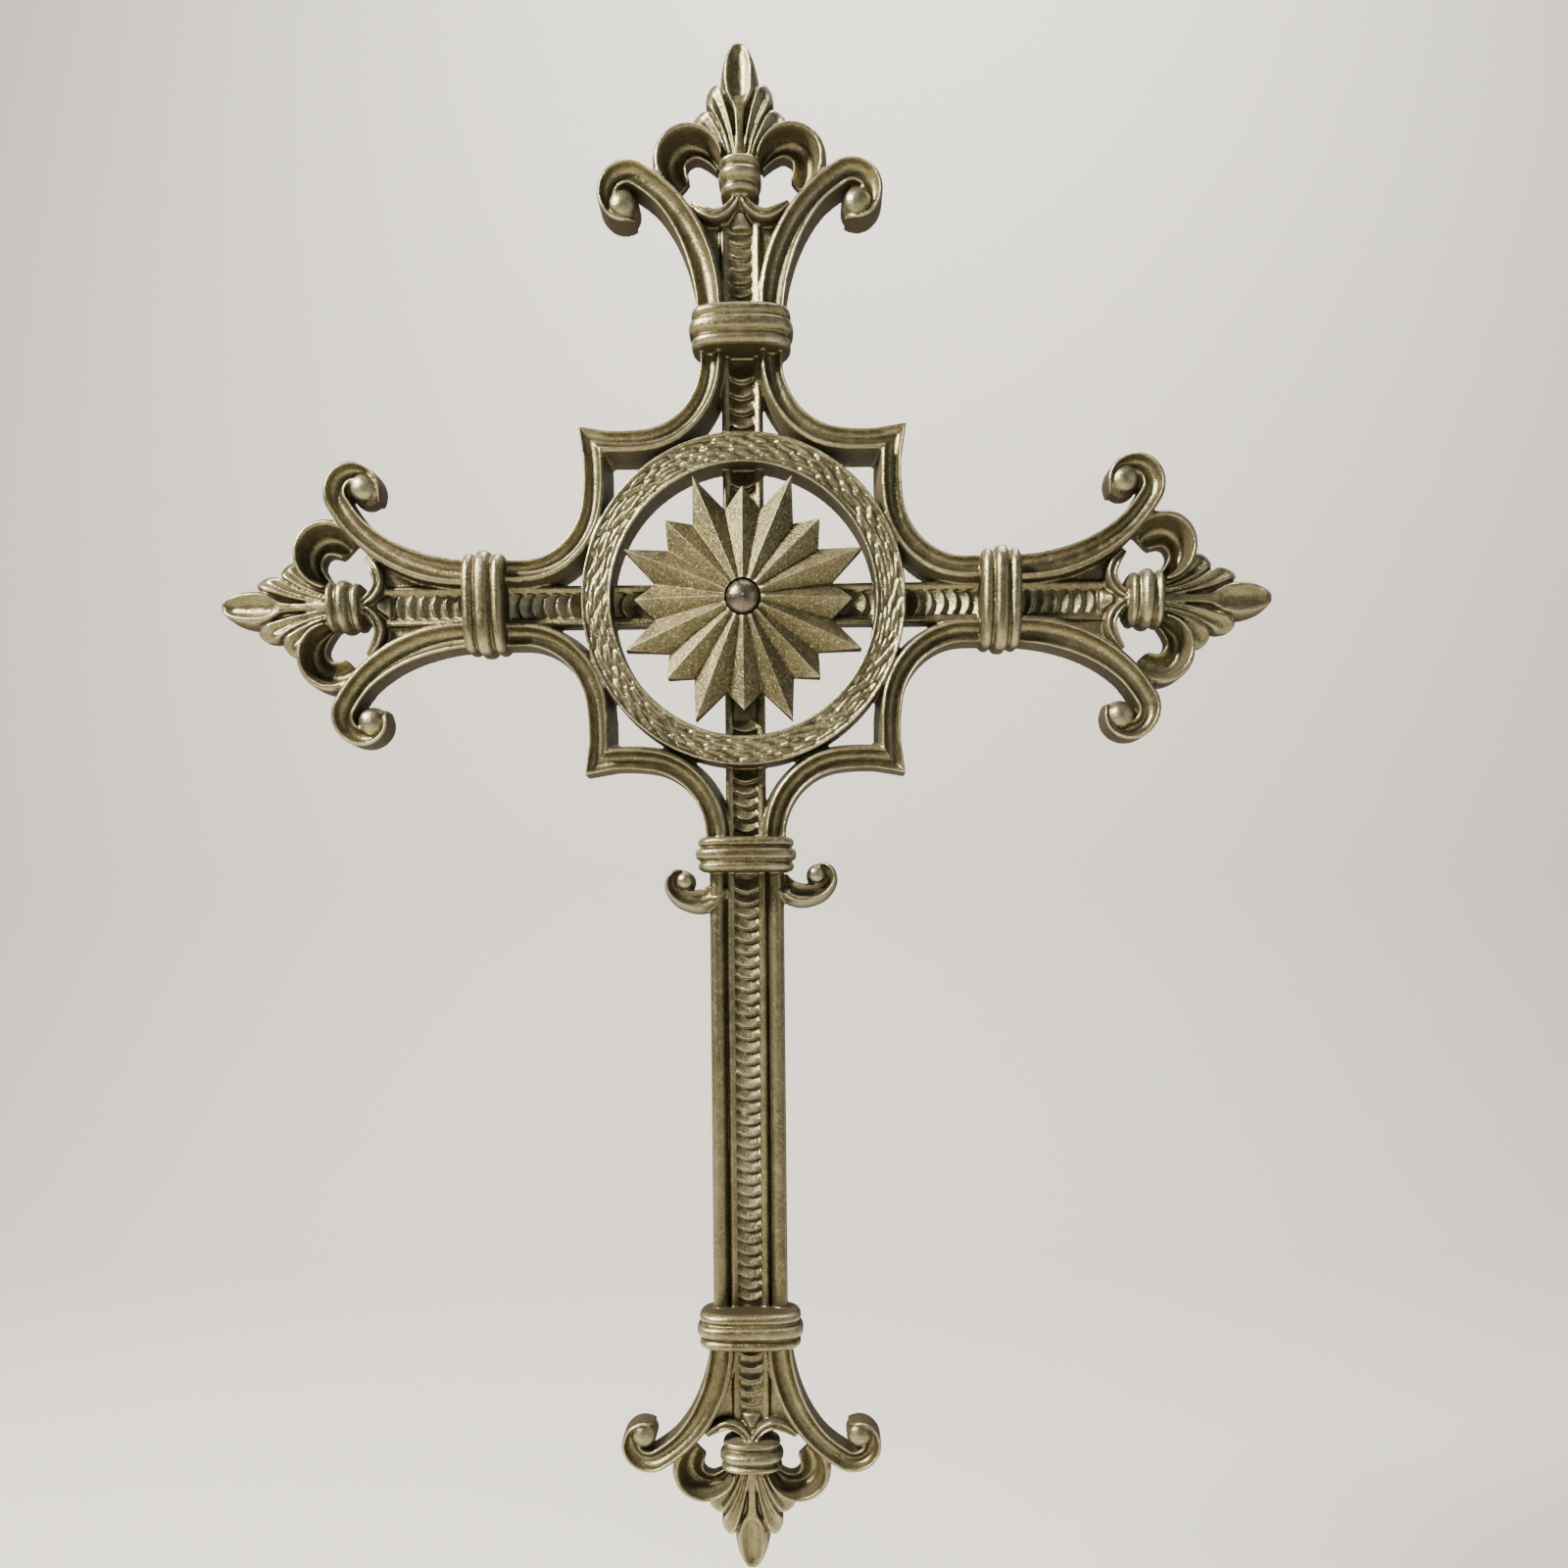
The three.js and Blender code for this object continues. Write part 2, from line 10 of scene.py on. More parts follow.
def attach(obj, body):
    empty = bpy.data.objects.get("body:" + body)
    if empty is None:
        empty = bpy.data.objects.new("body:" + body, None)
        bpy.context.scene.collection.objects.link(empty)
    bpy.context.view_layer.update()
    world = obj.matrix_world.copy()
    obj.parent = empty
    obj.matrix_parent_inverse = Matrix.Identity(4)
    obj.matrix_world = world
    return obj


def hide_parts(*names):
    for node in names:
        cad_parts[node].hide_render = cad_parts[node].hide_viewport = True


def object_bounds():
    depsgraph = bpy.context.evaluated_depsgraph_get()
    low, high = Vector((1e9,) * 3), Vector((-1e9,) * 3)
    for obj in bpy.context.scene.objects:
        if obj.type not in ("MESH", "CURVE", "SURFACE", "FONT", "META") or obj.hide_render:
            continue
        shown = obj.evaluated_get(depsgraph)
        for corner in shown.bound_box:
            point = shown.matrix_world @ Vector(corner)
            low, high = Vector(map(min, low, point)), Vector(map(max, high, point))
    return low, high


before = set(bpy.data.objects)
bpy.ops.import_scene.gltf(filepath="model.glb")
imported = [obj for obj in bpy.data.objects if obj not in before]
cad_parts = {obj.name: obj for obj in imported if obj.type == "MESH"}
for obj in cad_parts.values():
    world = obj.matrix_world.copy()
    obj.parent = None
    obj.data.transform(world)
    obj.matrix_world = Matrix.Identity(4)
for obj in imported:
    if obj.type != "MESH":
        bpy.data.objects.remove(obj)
cad_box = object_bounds()

# Driving sizes in millimetres. A plan point is (across, along); "height" is the distance in
# front of the flat back, so it grows towards -y.
MM = 0.001
RING_OUTER = 63.9
RING_INNER = 51.8
RING_HEIGHT = 14.5
ARM_COLLAR = 98.6
LOW_COLLAR = 288.7
END_LENGTH = 109.8
BAR_HALF = 8
BAR_HEIGHT = 8
PANEL_HALF = 4.9
PANEL_HEIGHT = 5.4
SHAFT_HALF = 15
STRIP_WIDTH = 9
STRIP_HEIGHT = 14.2
KNOP_CENTRE = 59.6
CORNER_NARROWING = 0.955
# For each end, clockwise from the top: how tight its volutes curl, how wide its knop is, and the
# place, half width, front and length of its collar.
CURLS = [8.6, 8.6, 7.4, 8.6]
KNOP_WIDTHS = [0.6, 0.84, 0.97, 0.74]
COLLARS = [
    [ARM_COLLAR + 3, 20.2, 21, 15.4],
    [ARM_COLLAR + 2, 20.2, 21, 15.4],
    [LOW_COLLAR + 4.2, 22, 22, 15.6],
    [ARM_COLLAR + 3, 20.2, 21, 16.4],
]
HEAD_COLLAR = [ARM_COLLAR, 20.2, 21, 13.6]
RAYS = 16
RAY_LONG = 50.2
RAY_SHORT = 42.6
RAY_NOTCH = 35.5
ROSETTE_BACK = 8.3
ROSETTE_EDGE = 15
ROSETTE_HUB = 20
EDGE_PLEAT = 4
HUB_PLEAT = 1.8
RIVET_HEAD = 6.5
RIVET_SEAT = 16.6
RIVET_TOP = 22.5
RIVET_RIM = 1.4

# The fused skin: the size of its grid in millimetres, how much and how often it is smoothed, its
# triangles, and the normal's y from which a face belongs to the back.
VOXEL = 0.42
SMOOTHING = 0.4
SMOOTHING_PASSES = 2
CASTING_TRIANGLES = 190_000
BACK_FACING = 0.98


# Plain helpers for points and curves.


def mix(start, end, share):
    return start + (end - start) * share


def rounded(points, passes=2):
    """Cuts the corners of a row of points, and keeps its two ends."""
    line = np.array(points, float)
    for _ in range(passes):
        behind, ahead = line[:-1], line[1:]
        cut = np.stack([0.75 * behind + 0.25 * ahead, 0.25 * behind + 0.75 * ahead], axis=1)
        line = np.vstack([line[:1], cut.reshape(-1, line.shape[1]), line[-1:]])
    return line


def spline(values, count):
    """Smooth row of count values through a short row of given ones. Between two values, the curve
    takes its slopes from the values before and after them."""
    given = np.array(values, float)
    if given.ndim == 1:
        given = given[:, None]
    last = len(given) - 1
    padded = np.vstack([2 * given[0] - given[1], given, 2 * given[-1] - given[-2]])
    place_on = np.linspace(0, last, count)
    index = np.minimum(place_on.astype(int), last - 1)
    t = (place_on - index)[:, None]
    a, b, c, d = (padded[index + k] for k in range(4))
    square = 2 * a - 5 * b + 4 * c - d
    cube = 3 * b - a - 3 * c + d
    return 0.5 * (2 * b + (c - a) * t + square * t**2 + cube * t**3)


def place(across, along, height):
    """Points in space, as an array, from plan places and heights."""
    across, along, height = np.broadcast_arrays(across, along, height)
    return np.stack([across, -height, along], axis=-1).astype(float)


def loft(loops, joined=False):
    """Closed body through a row of loops with the same number of points."""
    loops = np.asarray(loops, float)
    rows, count = loops.shape[:2]
    spans = rows if joined else rows - 1
    here = np.arange(spans)[:, None] * count
    ahead = (np.arange(spans)[:, None] + 1) % rows * count
    j = np.arange(count)[None, :]
    k = (j + 1) % count
    faces = np.stack([here + j, here + k, ahead + k, ahead + j], axis=-1).reshape(-1, 4).tolist()
    if not joined:
        faces.append(list(range(count))[::-1])
        faces.append(list(range((rows - 1) * count, rows * count)))
    return loops.reshape(-1, 3), faces


def turn_body(body, quarters):
    """The same body turned in its plane: one quarter takes the top arm to the right arm."""
    points, faces = body
    angle = math.radians(-90 * quarters)
    across = points[:, 0] * math.cos(angle) - points[:, 2] * math.sin(angle)
    along = points[:, 0] * math.sin(angle) + points[:, 2] * math.cos(angle)
    return np.stack([across, points[:, 1], along], axis=-1), faces


def move_body(body, across=0.0, along=0.0, stretch=1.0):
    points, faces = body
    return points * [stretch, 1, 1] + [across, 0, along], faces


def mirror_body(body):
    points, faces = body
    return points * [-1, 1, 1], [face[::-1] for face in faces]


# Strips: bodies with one cross-section that follow a line in plan.


def strip(start_edge, end_edge, section, lift=1.0, fill=0.0):
    """Each station has its two edges in plan; the section holds (share, height) pairs. Lift scales
    the heights. Where fill rises to 1 the hollow between the section's rims closes."""
    start_edge, end_edge = np.asarray(start_edge, float), np.asarray(end_edge, float)
    lift = np.broadcast_to(lift, len(start_edge))[:, None]
    fill = np.broadcast_to(fill, len(start_edge))[:, None]
    share, height = np.asarray(section, float).T
    full = np.minimum(np.maximum.accumulate(height), np.maximum.accumulate(height[::-1])[::-1])
    plan = start_edge[:, None, :] + (end_edge - start_edge)[:, None, :] * share[None, :, None]
    return loft(place(plan[..., 0], plan[..., 1], mix(height, full, fill) * lift))


def edges_of(middles, halves):
    """The right-hand and left-hand edges of a line with a half width at each point."""
    middles = np.asarray(middles, float)
    run = np.gradient(middles, axis=0)
    run /= np.linalg.norm(run, axis=1)[:, None]
    side = np.stack([run[:, 1], -run[:, 0]], axis=-1) * np.asarray(halves, float).reshape(-1, 1)
    return middles + side, middles - side


# Sections of the strips, as (share of the width, height) pairs.


def gutter_section(foot):
    """Thin rim, wide gutter, then a rim with a fine groove in it. The foot of the last wall
    stands out by the given share of the width."""
    return rounded(
        [
            [0, 0],
            [0.015, 11.6],
            [0.05, 12.5],
            [0.11, 12.5],
            [0.17, 11.4],
            [0.3, 10.1],
            [0.48, 9.8],
            [0.64, 10.6],
            [0.74, 12],
            [0.79, 13.4],
            [0.84, STRIP_HEIGHT],
            [0.885, 13.8],
            [0.9, 12.7],
            [0.92, 12.7],
            [0.94, 13.5],
            [0.975, 13.2],
            [0.99, 12],
            [1 + foot, 0],
        ],
        1,
    )


SPOON = [
    [0, 0],
    [0.03, 4.6],
    [0.07, 7.6],
    [0.13, 9.4],
    [0.2, 9.8],
    [0.27, 8.9],
    [0.37, 7.7],
    [0.5, 7.2],
    [0.63, 7.7],
    [0.73, 8.9],
    [0.8, 9.8],
    [0.87, 9.4],
    [0.93, 7.6],
    [0.97, 4.6],
    [1, 0],
]
EAR = [
    [0, 0],
    [0.04, 9.4],
    [0.14, 11.4],
    [0.3, 12.2],
    [0.44, 11.4],
    [0.52, 9.8],
    [0.6, 10.6],
    [0.76, 12],
    [0.92, 11],
    [1, 8.4],
    [1, 0],
]
SMALL_GUTTER = [
    [0, 0],
    [0.03, 5],
    [0.12, 8.6],
    [0.24, 11],
    [0.32, 11.8],
    [0.4, 11.2],
    [0.5, 9.4],
    [0.66, 8],
    [0.82, 8],
    [0.94, 9],
    [1, 8.4],
    [1, 0],
]
LEAF = [
    [0, 0],
    [0.01, 10],
    [0.05, 12],
    [0.13, 13],
    [0.21, 12.6],
    [0.27, 10.6],
    [0.32, 7],
    [0.42, 4],
    [0.58, 3],
    [0.76, 4],
    [0.92, 6.6],
    [1, 6],
    [1, 0],
]


# The straight parts of the cross: the bars, the shaft and their scales.


def mirrored_bar(low, high, low_half, high_half):
    """Straight upright body; its half outline may change in size from end to end."""
    loops = []
    for along, half in ((low, low_half), (high, high_half)):
        right = np.asarray(half, float)
        left = right[::-1] * [-1, 1]
        outline = np.vstack([right, left])
        loops.append(place(outline[:, 0], along, outline[:, 1]))
    return loft(loops)


def bar_body(low, high):
    """Bar with a softened rim on each side of a sunk panel."""
    half = [
        [BAR_HALF, 0],
        [BAR_HALF, BAR_HEIGHT - 1.6],
        [BAR_HALF - 0.3, BAR_HEIGHT - 0.6],
        [BAR_HALF - 0.9, BAR_HEIGHT],
        [BAR_HALF - 1.6, BAR_HEIGHT],
        [PANEL_HALF, BAR_HEIGHT - 0.7],
        [PANEL_HALF, PANEL_HEIGHT],
    ]
    return mirrored_bar(low, high, half, half)


def shaft_body():
    """The shaft below the crossing: a rounded flank, a groove, then the bar in the middle."""

    def flank(outer):
        return rounded(
            [
                [outer, 0],
                [outer, 4.6],
                [outer - 0.1, 7.6],
                [outer - 1.3, 9.4],
                [outer - 3, 9.9],
                [outer - 4.8, 9.2],
                [outer - 5.8, 8],
                [BAR_HALF + 0.7, 5],
            ],
            2,
        )

    return mirrored_bar(-LOW_COLLAR, -ARM_COLLAR, flank(SHAFT_HALF + 0.5), flank(SHAFT_HALF))


# One scale from its covered edge to its free edge: share of its length, height over the panel.
SCALE_RISES = [
    (0.0, -0.1),
    (0.3, 0.6),
    (0.6, 1.4),
    (0.82, 2.1),
    (0.93, 2.3),
    (0.985, 1.7),
    (1.0, 0.0),
]
SCALE_COLUMNS = 15
SCALE_SAG = 0.42
SCALE_CROWN = 0.25
SCALE_OVERLAP = 0.2
SCALE_SUNK = 1


def scale_row(start, end, pitch, lean):
    """Overlapping scales in a panel, as one toothed strip. The free edges are rounded and point
    up the bar where lean is +1 and down it where lean is -1."""
    count = round(abs(end - start) / pitch)
    step = abs(end - start) / count
    first = min(start, end) if lean > 0 else max(start, end)
    across = np.linspace(1, -1, SCALE_COLUMNS)
    sag = SCALE_SAG * step
    loops = []
    for i in range(count):
        for share, rise in SCALE_RISES:
            along = first + lean * (sag + (i + share) * step - sag * across**2)
            arch = SCALE_CROWN * (1 - across**2)
            crown = PANEL_HEIGHT + rise * (1 - SCALE_CROWN * across**2) + arch
            top = place(across * (PANEL_HALF + SCALE_OVERLAP), along, crown)
            foot = place(top[[0, -1], 0], top[[0, -1], 2], PANEL_HEIGHT - SCALE_SUNK)
            loops.append(np.vstack([foot[:1], top, foot[1:]]))
    return loft(loops)


def banded_body(profile, squareness, tuck=0.6, segments=56):
    """Dome-fronted body across an arm, drawn in again towards its flat back. Profile rows give
    the place along the arm, the half width and how far it stands up from the back."""
    turn = np.linspace(-tuck, math.pi + tuck, segments + 1)
    across = np.sign(np.cos(turn)) * np.abs(np.cos(turn)) ** squareness
    below = math.sin(tuck) ** squareness
    up = (np.sign(np.sin(turn)) * np.abs(np.sin(turn)) ** squareness + below) / (1 + below)
    up[[0, -1]] = 0
    loops = [place(across * half, along, up * front) for along, half, front in profile]
    return loft(loops)


# Half of a collar, from its end to the middle: share of its length, share of its full size.
COLLAR_HALF_RINGS = [
    (0.5, 0.84),
    (0.47, 0.91),
    (0.37, 0.96),
    (0.26, 0.94),
    (0.205, 0.87),
    (0.165, 0.94),
    (0.11, 0.99),
    (0.03, 1.0),
]
COLLAR_SQUARENESS = 0.62


def collar(centre, half, front, length):
    """Collar of three rings round the bundle of bar and strips."""
    rings = [[-share, size, size] for share, size in COLLAR_HALF_RINGS]
    rings += [[share, size, size] for share, size in COLLAR_HALF_RINGS[::-1]]
    profile = np.array(rings) * [length, half, front] + [centre, 0, 0]
    return banded_body(rounded(profile, 2), COLLAR_SQUARENESS)


# The corner strip follows a tight arc that starts at the collar, then a wide arc to the mitre.
# Angles are in degrees, and the two mitre sizes are the same across and along.
TIGHT_RADIUS = 26
TIGHT_TURN = 82
TIGHT_CENTRE_ALONG = 91.5
WIDE_RADIUS = 80
WIDE_TURN = 11
STRIP_OVERLAP = 0.3
MITRE_OUTER = 67.1
MITRE_INNER = 56.2
CORNER_FOOT = 0.25


def corner_strip():
    """Strip from one arm's collar out to the sharp corner between two arms and back to the next
    collar. Its two halves meet in a mitre on the diagonal."""
    side = BAR_HALF + STRIP_WIDTH - STRIP_OVERLAP
    centre = np.array([side + TIGHT_RADIUS, TIGHT_CENTRE_ALONG])
    turn_point = math.radians(180 + TIGHT_TURN)
    out = np.array([math.cos(turn_point), math.sin(turn_point)])
    wide_centre = centre + (TIGHT_RADIUS - WIDE_RADIUS) * out
    start_edge, end_edge = [], []

    def add(middle, radius, angle, width):
        ray = np.array([math.cos(angle), math.sin(angle)])
        start_edge.append(middle + radius * ray)
        end_edge.append(middle + (radius + width) * ray)

    add(np.array([centre[0], ARM_COLLAR]), TIGHT_RADIUS, math.pi, STRIP_WIDTH)
    for share in np.linspace(0, 1, 30):
        add(centre, TIGHT_RADIUS, math.radians(180 + TIGHT_TURN * share), STRIP_WIDTH)
    for share in np.linspace(0.1, 1, 10):
        angle = turn_point + math.radians(WIDE_TURN * share)
        add(wide_centre, WIDE_RADIUS, angle, STRIP_WIDTH - STRIP_OVERLAP * share)
    start_edge.append(np.array([MITRE_OUTER, MITRE_OUTER]))
    end_edge.append(np.array([MITRE_INNER, MITRE_INNER]))
    first, second = np.array(start_edge), np.array(end_edge)
    first = np.vstack([first, first[-2::-1, ::-1]])
    second = np.vstack([second, second[-2::-1, ::-1]])
    return strip(first, second, gutter_section(CORNER_FOOT))


# The wreath: the bead's and the band's insets from the ring's edges and drops below its top, then
# the leaves. A pair holds the limits of a random draw, and the tilt is in degrees.
BEAD_INSETS = [0, 0.2, 0.7, 1.3, 1.8]
BEAD_DROPS = [0.9, 0.2, 0.6]
BAND_INSET = 2.2
BAND_DROP = 1.9
LEAF_ROWS = 5
LEAVES_PER_ROW = 46
LEAF_ROW_SPACING = 1.7
LEAF_STAGGER = 0.4
LEAF_SHIFT = (-0.2, 0.2)
LEAF_TILT = (-4, 14)
LEAF_REACH = (3.2, 4.6)
LEAF_HALF_WIDTH = (0.6, 0.95)
LEAF_DROP = 1.7
LEAF_RISE = 1.0


def wreath_ring(rng):
    """Ring with a bead at each edge and a band of narrow leaves that lie nearly along it."""
    turns, band_points, bead_points = 900, 19, len(BEAD_INSETS) - 1
    insets = np.array(BEAD_INSETS)
    band = np.linspace(RING_OUTER - BAND_INSET, RING_INNER + BAND_INSET, band_points)
    radii = np.concatenate([RING_OUTER - insets, band, RING_INNER + insets[::-1]])
    heights = np.full(len(radii), RING_HEIGHT - BAND_DROP)
    for step, drop in enumerate(BEAD_DROPS, 1):
        heights[[step, -1 - step]] = RING_HEIGHT - drop
    heights[[0, -1]] = 0
    angle = np.linspace(0, 2 * math.pi, turns, endpoint=False)[:, None]
    height = np.tile(heights, (turns, 1))
    middle = (RING_OUTER + RING_INNER) / 2
    pitch = 2 * math.pi / LEAVES_PER_ROW
    for row in range(LEAF_ROWS):
        row_radius = middle + (row - (LEAF_ROWS - 1) / 2) * LEAF_ROW_SPACING
        for i in range(LEAVES_PER_ROW):
            at = (i + LEAF_STAGGER * row + rng.uniform(*LEAF_SHIFT)) * pitch
            tilt = math.radians(rng.uniform(*LEAF_TILT))
            reach = rng.uniform(*LEAF_REACH)
            half = rng.uniform(*LEAF_HALF_WIDTH)
            gap = (angle - at + math.pi) % (2 * math.pi) - math.pi
            run = gap * row_radius
            side = radii[None, :] - row_radius
            along = run * math.cos(tilt) + side * math.sin(tilt)
            off = -run * math.sin(tilt) + side * math.cos(tilt)
            width = half * np.sqrt(np.clip(1 - (along / reach) ** 2, 0, 1))
            inside = (np.abs(along) < reach) & (np.abs(off) < width)
            # The leaves stay clear of the beads.
            inside[:, :bead_points] = False
            inside[:, -bead_points:] = False
            arch = 1 - (off / np.maximum(width, 0.01)) ** 2
            bump = RING_HEIGHT - LEAF_DROP + LEAF_RISE * arch
            height = np.where(inside, np.maximum(height, bump), height)
    loops = place(radii * np.cos(angle), radii * np.sin(angle), height)
    return loft(loops, joined=True)


# The smallest radius at the axis of a round solid, so that no face there has zero width, and the
# rise of a flattened ball as a share of its radius.
AXIS_RADIUS = 0.02
BALL_RISE = 0.78


def turned(centre, profile, segments=32):
    """Round solid that stands on the back plane, from (radius, height) pairs."""
    angle = np.linspace(0, 2 * math.pi, segments, endpoint=False)[:, None]
    radius, height = np.asarray(profile, float).T
    radius = np.maximum(radius, AXIS_RADIUS)
    loops = place(centre[0] + radius * np.cos(angle), centre[1] + radius * np.sin(angle), height)
    return loft(loops, joined=True)


def ball(centre, radius, top):
    """Post with a top like a slightly flattened ball."""
    turn = np.linspace(0, math.pi / 2, 9)
    rise = BALL_RISE * radius
    dome = np.stack([radius * np.cos(turn), top - rise + rise * np.sin(turn)], axis=-1)
    return turned(centre, [[0, 0], [radius, 0], *dome.tolist()])


# The ornament of one end, with the arm's collar at the origin and the tip along +z.

# The scroll: the volute's centre, outer radius and eye, the place where the flare joins the roll
# and the whole roll in degrees, the half width at the rolled end, and the fuller side of the flare.
VOLUTE = np.array([43.5, 52.9])
VOLUTE_OUTER = 13.2
VOLUTE_EYE = (45.2, 50.4)
VOLUTE_JOIN = 120
VOLUTE_ROLL = 235
ROLL_END_HALF = 2.2
ROLL_END_NARROWING = 1.1
FLARE_OVERLAP = 1.2
FLARE_BELLY = 2
FLARE_LENGTH = 50
KNOB_RADIUS = 5.4
KNOB_TOP = 13.4
# The roll's width and radius shrink with these powers of the share of it that has gone by. From
# the given shares on it narrows once more, sinks further and loses its hollow.
ROLL_WIDTH_POWER = 1.4
ROLL_RADIUS_POWER = 1.3
ROLL_NARROWS_FROM = 0.88
ROLL_SINK = 0.12
ROLL_SINKS_FROM, ROLL_END_SINK = 0.86, 0.25
ROLL_FILLS_FROM, ROLL_FILL_LENGTH = 0.6, 0.3


def last_part(share, start):
    """Rises evenly from 0 to 1 over the last part of a share, from start on."""
    return np.clip((share - start) / (1 - start), 0, 1)


def end_scroll(curl):
    """Strip that leaves the collar beside the bar, flares out and rolls up into a volute. The
    volute's radius shrinks to curl at its inner end."""
    half = STRIP_WIDTH / 2
    join = math.radians(VOLUTE_JOIN)
    join_radius = VOLUTE_OUTER - half
    start = BAR_HALF + half - FLARE_OVERLAP
    flare = (VOLUTE[0] - start + join_radius * math.cos(join)) / (1 + math.cos(join))
    flare_start = VOLUTE[1] + (join_radius - flare) * math.sin(join)
    middles = [[start, -2], [start, flare_start / 2]]
    halves = [half, half]
    for turn in np.radians(np.linspace(0, 180 - VOLUTE_JOIN, 26)):
        middles.append([start + flare * (1 - math.cos(turn)), flare_start + flare * math.sin(turn)])
        halves.append(half)
    roll_steps = 50
    for share in np.linspace(0, 1, roll_steps + 1)[1:]:
        angle = join - math.radians(VOLUTE_ROLL) * share
        narrowing = ROLL_END_NARROWING * last_part(share, ROLL_NARROWS_FROM)
        wide = mix(half, ROLL_END_HALF, share**ROLL_WIDTH_POWER) - narrowing
        radius = mix(VOLUTE_OUTER, curl, share**ROLL_RADIUS_POWER) - wide
        middles.append([VOLUTE[0] + radius * math.cos(angle), VOLUTE[1] + radius * math.sin(angle)])
        halves.append(wide)
    right, left = edges_of(middles, halves)
    # The strip is fuller on its outer side half way along the flare.
    belly = FLARE_BELLY * np.sin(math.pi * np.clip(right[:, 1] / FLARE_LENGTH, 0, 1))
    belly[-roll_steps:] = 0
    out = right - left
    right += out / np.linalg.norm(out, axis=1)[:, None] * belly[:, None]
    # The rolled end loses its hollow and sinks into the knob in the eye of the volute.
    lift, fill = np.ones(len(middles)), np.zeros(len(middles))
    rolled = np.linspace(0, 1, roll_steps)
    end_sink = ROLL_END_SINK * last_part(rolled, ROLL_SINKS_FROM) ** 2
    lift[-roll_steps:] = 1 - ROLL_SINK * rolled - end_sink
    fill[-roll_steps:] = np.clip((rolled - ROLL_FILLS_FROM) / ROLL_FILL_LENGTH, 0, 1)
    return strip(right, left, gutter_section(0), lift, fill)


def volute_eye(curl):
    """Sunk floor inside the roll, with the knob that stands on it."""
    floor = curl - ROLL_END_HALF
    return [
        turned(VOLUTE_EYE, [[0, 0], [floor, 0], [floor, 7], [floor - 0.8, 9.4], [0, 11]]),
        ball(VOLUTE_EYE, KNOB_RADIUS, KNOB_TOP),
    ]


def ear_leaf():
    """Small curved leaf that closes the end of the bar beside the neck."""
    steps = 40
    middles = spline([[0.6, 53], [2.6, 49.6], [6, 46.8], [10, 45.8], [14.6, 47.4], [19, 51.2]], steps)
    halves = spline([1.6, 2.1, 2.5, 2.6, 2.5, 1.4], steps)
    lift = spline([1.05, 1.05, 1.04, 1.02, 1, 0.8], steps)[:, 0]
    return strip(*edges_of(middles, halves), rounded(EAR, 1), lift)


def side_leaf():
    """Hollow side leaf that swings out from the knop and back against the scroll."""
    centre, outer_radius, steps = np.array([20, 65.8]), 13.5, 60
    first_angle, last_angle = 172, -60
    inner = spline(
        [[9, 64.5], [13, 67.4], [16.4, 68.8], [19.2, 67.9], [20.4, 65.6], [19.6, 61.6]], steps
    )
    angle = np.radians(np.linspace(first_angle, last_angle, steps))
    outer = centre + outer_radius * np.stack([np.cos(angle), np.sin(angle)], axis=-1)
    return strip(outer, inner, rounded(LEAF, 1))


def palmette_fan():
    """The four side lobes as one fluted fan. Its columns run from the knop outward; each lobe is
    a rim, a hollow and a rim, with a groove beside the next lobe."""
    columns = np.array(
        [
            # start, bend and end in plan, then the height
            [6.6, 64, 9.6, 71.4, 17.4, 78.2, 7],
            [5.9, 64.8, 8.8, 73, 18.6, 80.8, 9.4],
            [5, 65.5, 7.4, 75, 17.4, 84.4, 8.2],
            [4.2, 66, 6, 76.4, 13.8, 86.6, 9.6],
            [3.8, 66.2, 5.4, 77, 11, 84.8, 6.2],
            [3.4, 66.6, 5.2, 78, 13, 88.6, 9.8],
            [2.4, 67, 4, 80, 12.2, 94, 8.4],
            [1.6, 67.3, 2.8, 81.4, 9, 96.4, 9.8],
            [1.2, 67.5, 2.4, 82, 6.6, 93.4, 6.6],
        ]
    )
    fine = spline(columns, 64)
    start, bend, end, height = fine[:, 0:2], fine[:, 2:4], fine[:, 4:6], fine[:, 6]
    share = np.linspace(0, 1, 60)
    # The lobes' ends are blunt: each column drops by just over half over its last part.
    blunt_drop, blunt_from, blunt_power = 0.55, 0.78, 2.6
    blunt = 1 - blunt_drop * last_part(share, blunt_from) ** blunt_power
    run = share[:, None]
    loops = []
    for side in (1, -1):
        half = []
        for first, middle, last, crest in zip(start, bend, end, height):
            plan = mix(mix(first, middle, run), mix(middle, last, run), run)
            top = place(side * plan[:, 0], plan[:, 1], crest * blunt)
            foot = place(top[[0, -1], 0], top[[0, -1], 2], 0)
            half.append(np.vstack([foot[:1], top, foot[1:]]))
        loops += half if side == 1 else half[::-1]
    return loft(loops)


def palmette_tip():
    """Spoon-shaped lobe in the middle, whose hollow closes at both ends inside a raised rim."""
    stations = np.array(
        [
            # along, half width, lift, fill
            [66, 1.8, 1.02, 1],
            [78, 1.9, 1, 1],
            [85, 2.6, 0.98, 1],
            [88, 4.6, 1, 0.7],
            [91, 6.6, 1.04, 0],
            [96, 7.6, 1.08, 0],
            [101, 7, 1.08, 0],
            [105, 5.5, 1.02, 0.1],
            [107.6, 3.9, 0.94, 0.8],
            [109.2, 2.2, 0.84, 1],
            [END_LENGTH, 1.2, 0.66, 1],
        ]
    )
    steps = 70
    along, halves, lift, fill = spline(stations, steps).T
    line = np.stack([np.zeros(steps), along], axis=-1)
    return strip(*edges_of(line, halves), rounded(SPOON, 1), lift, np.clip(fill, 0, 1))


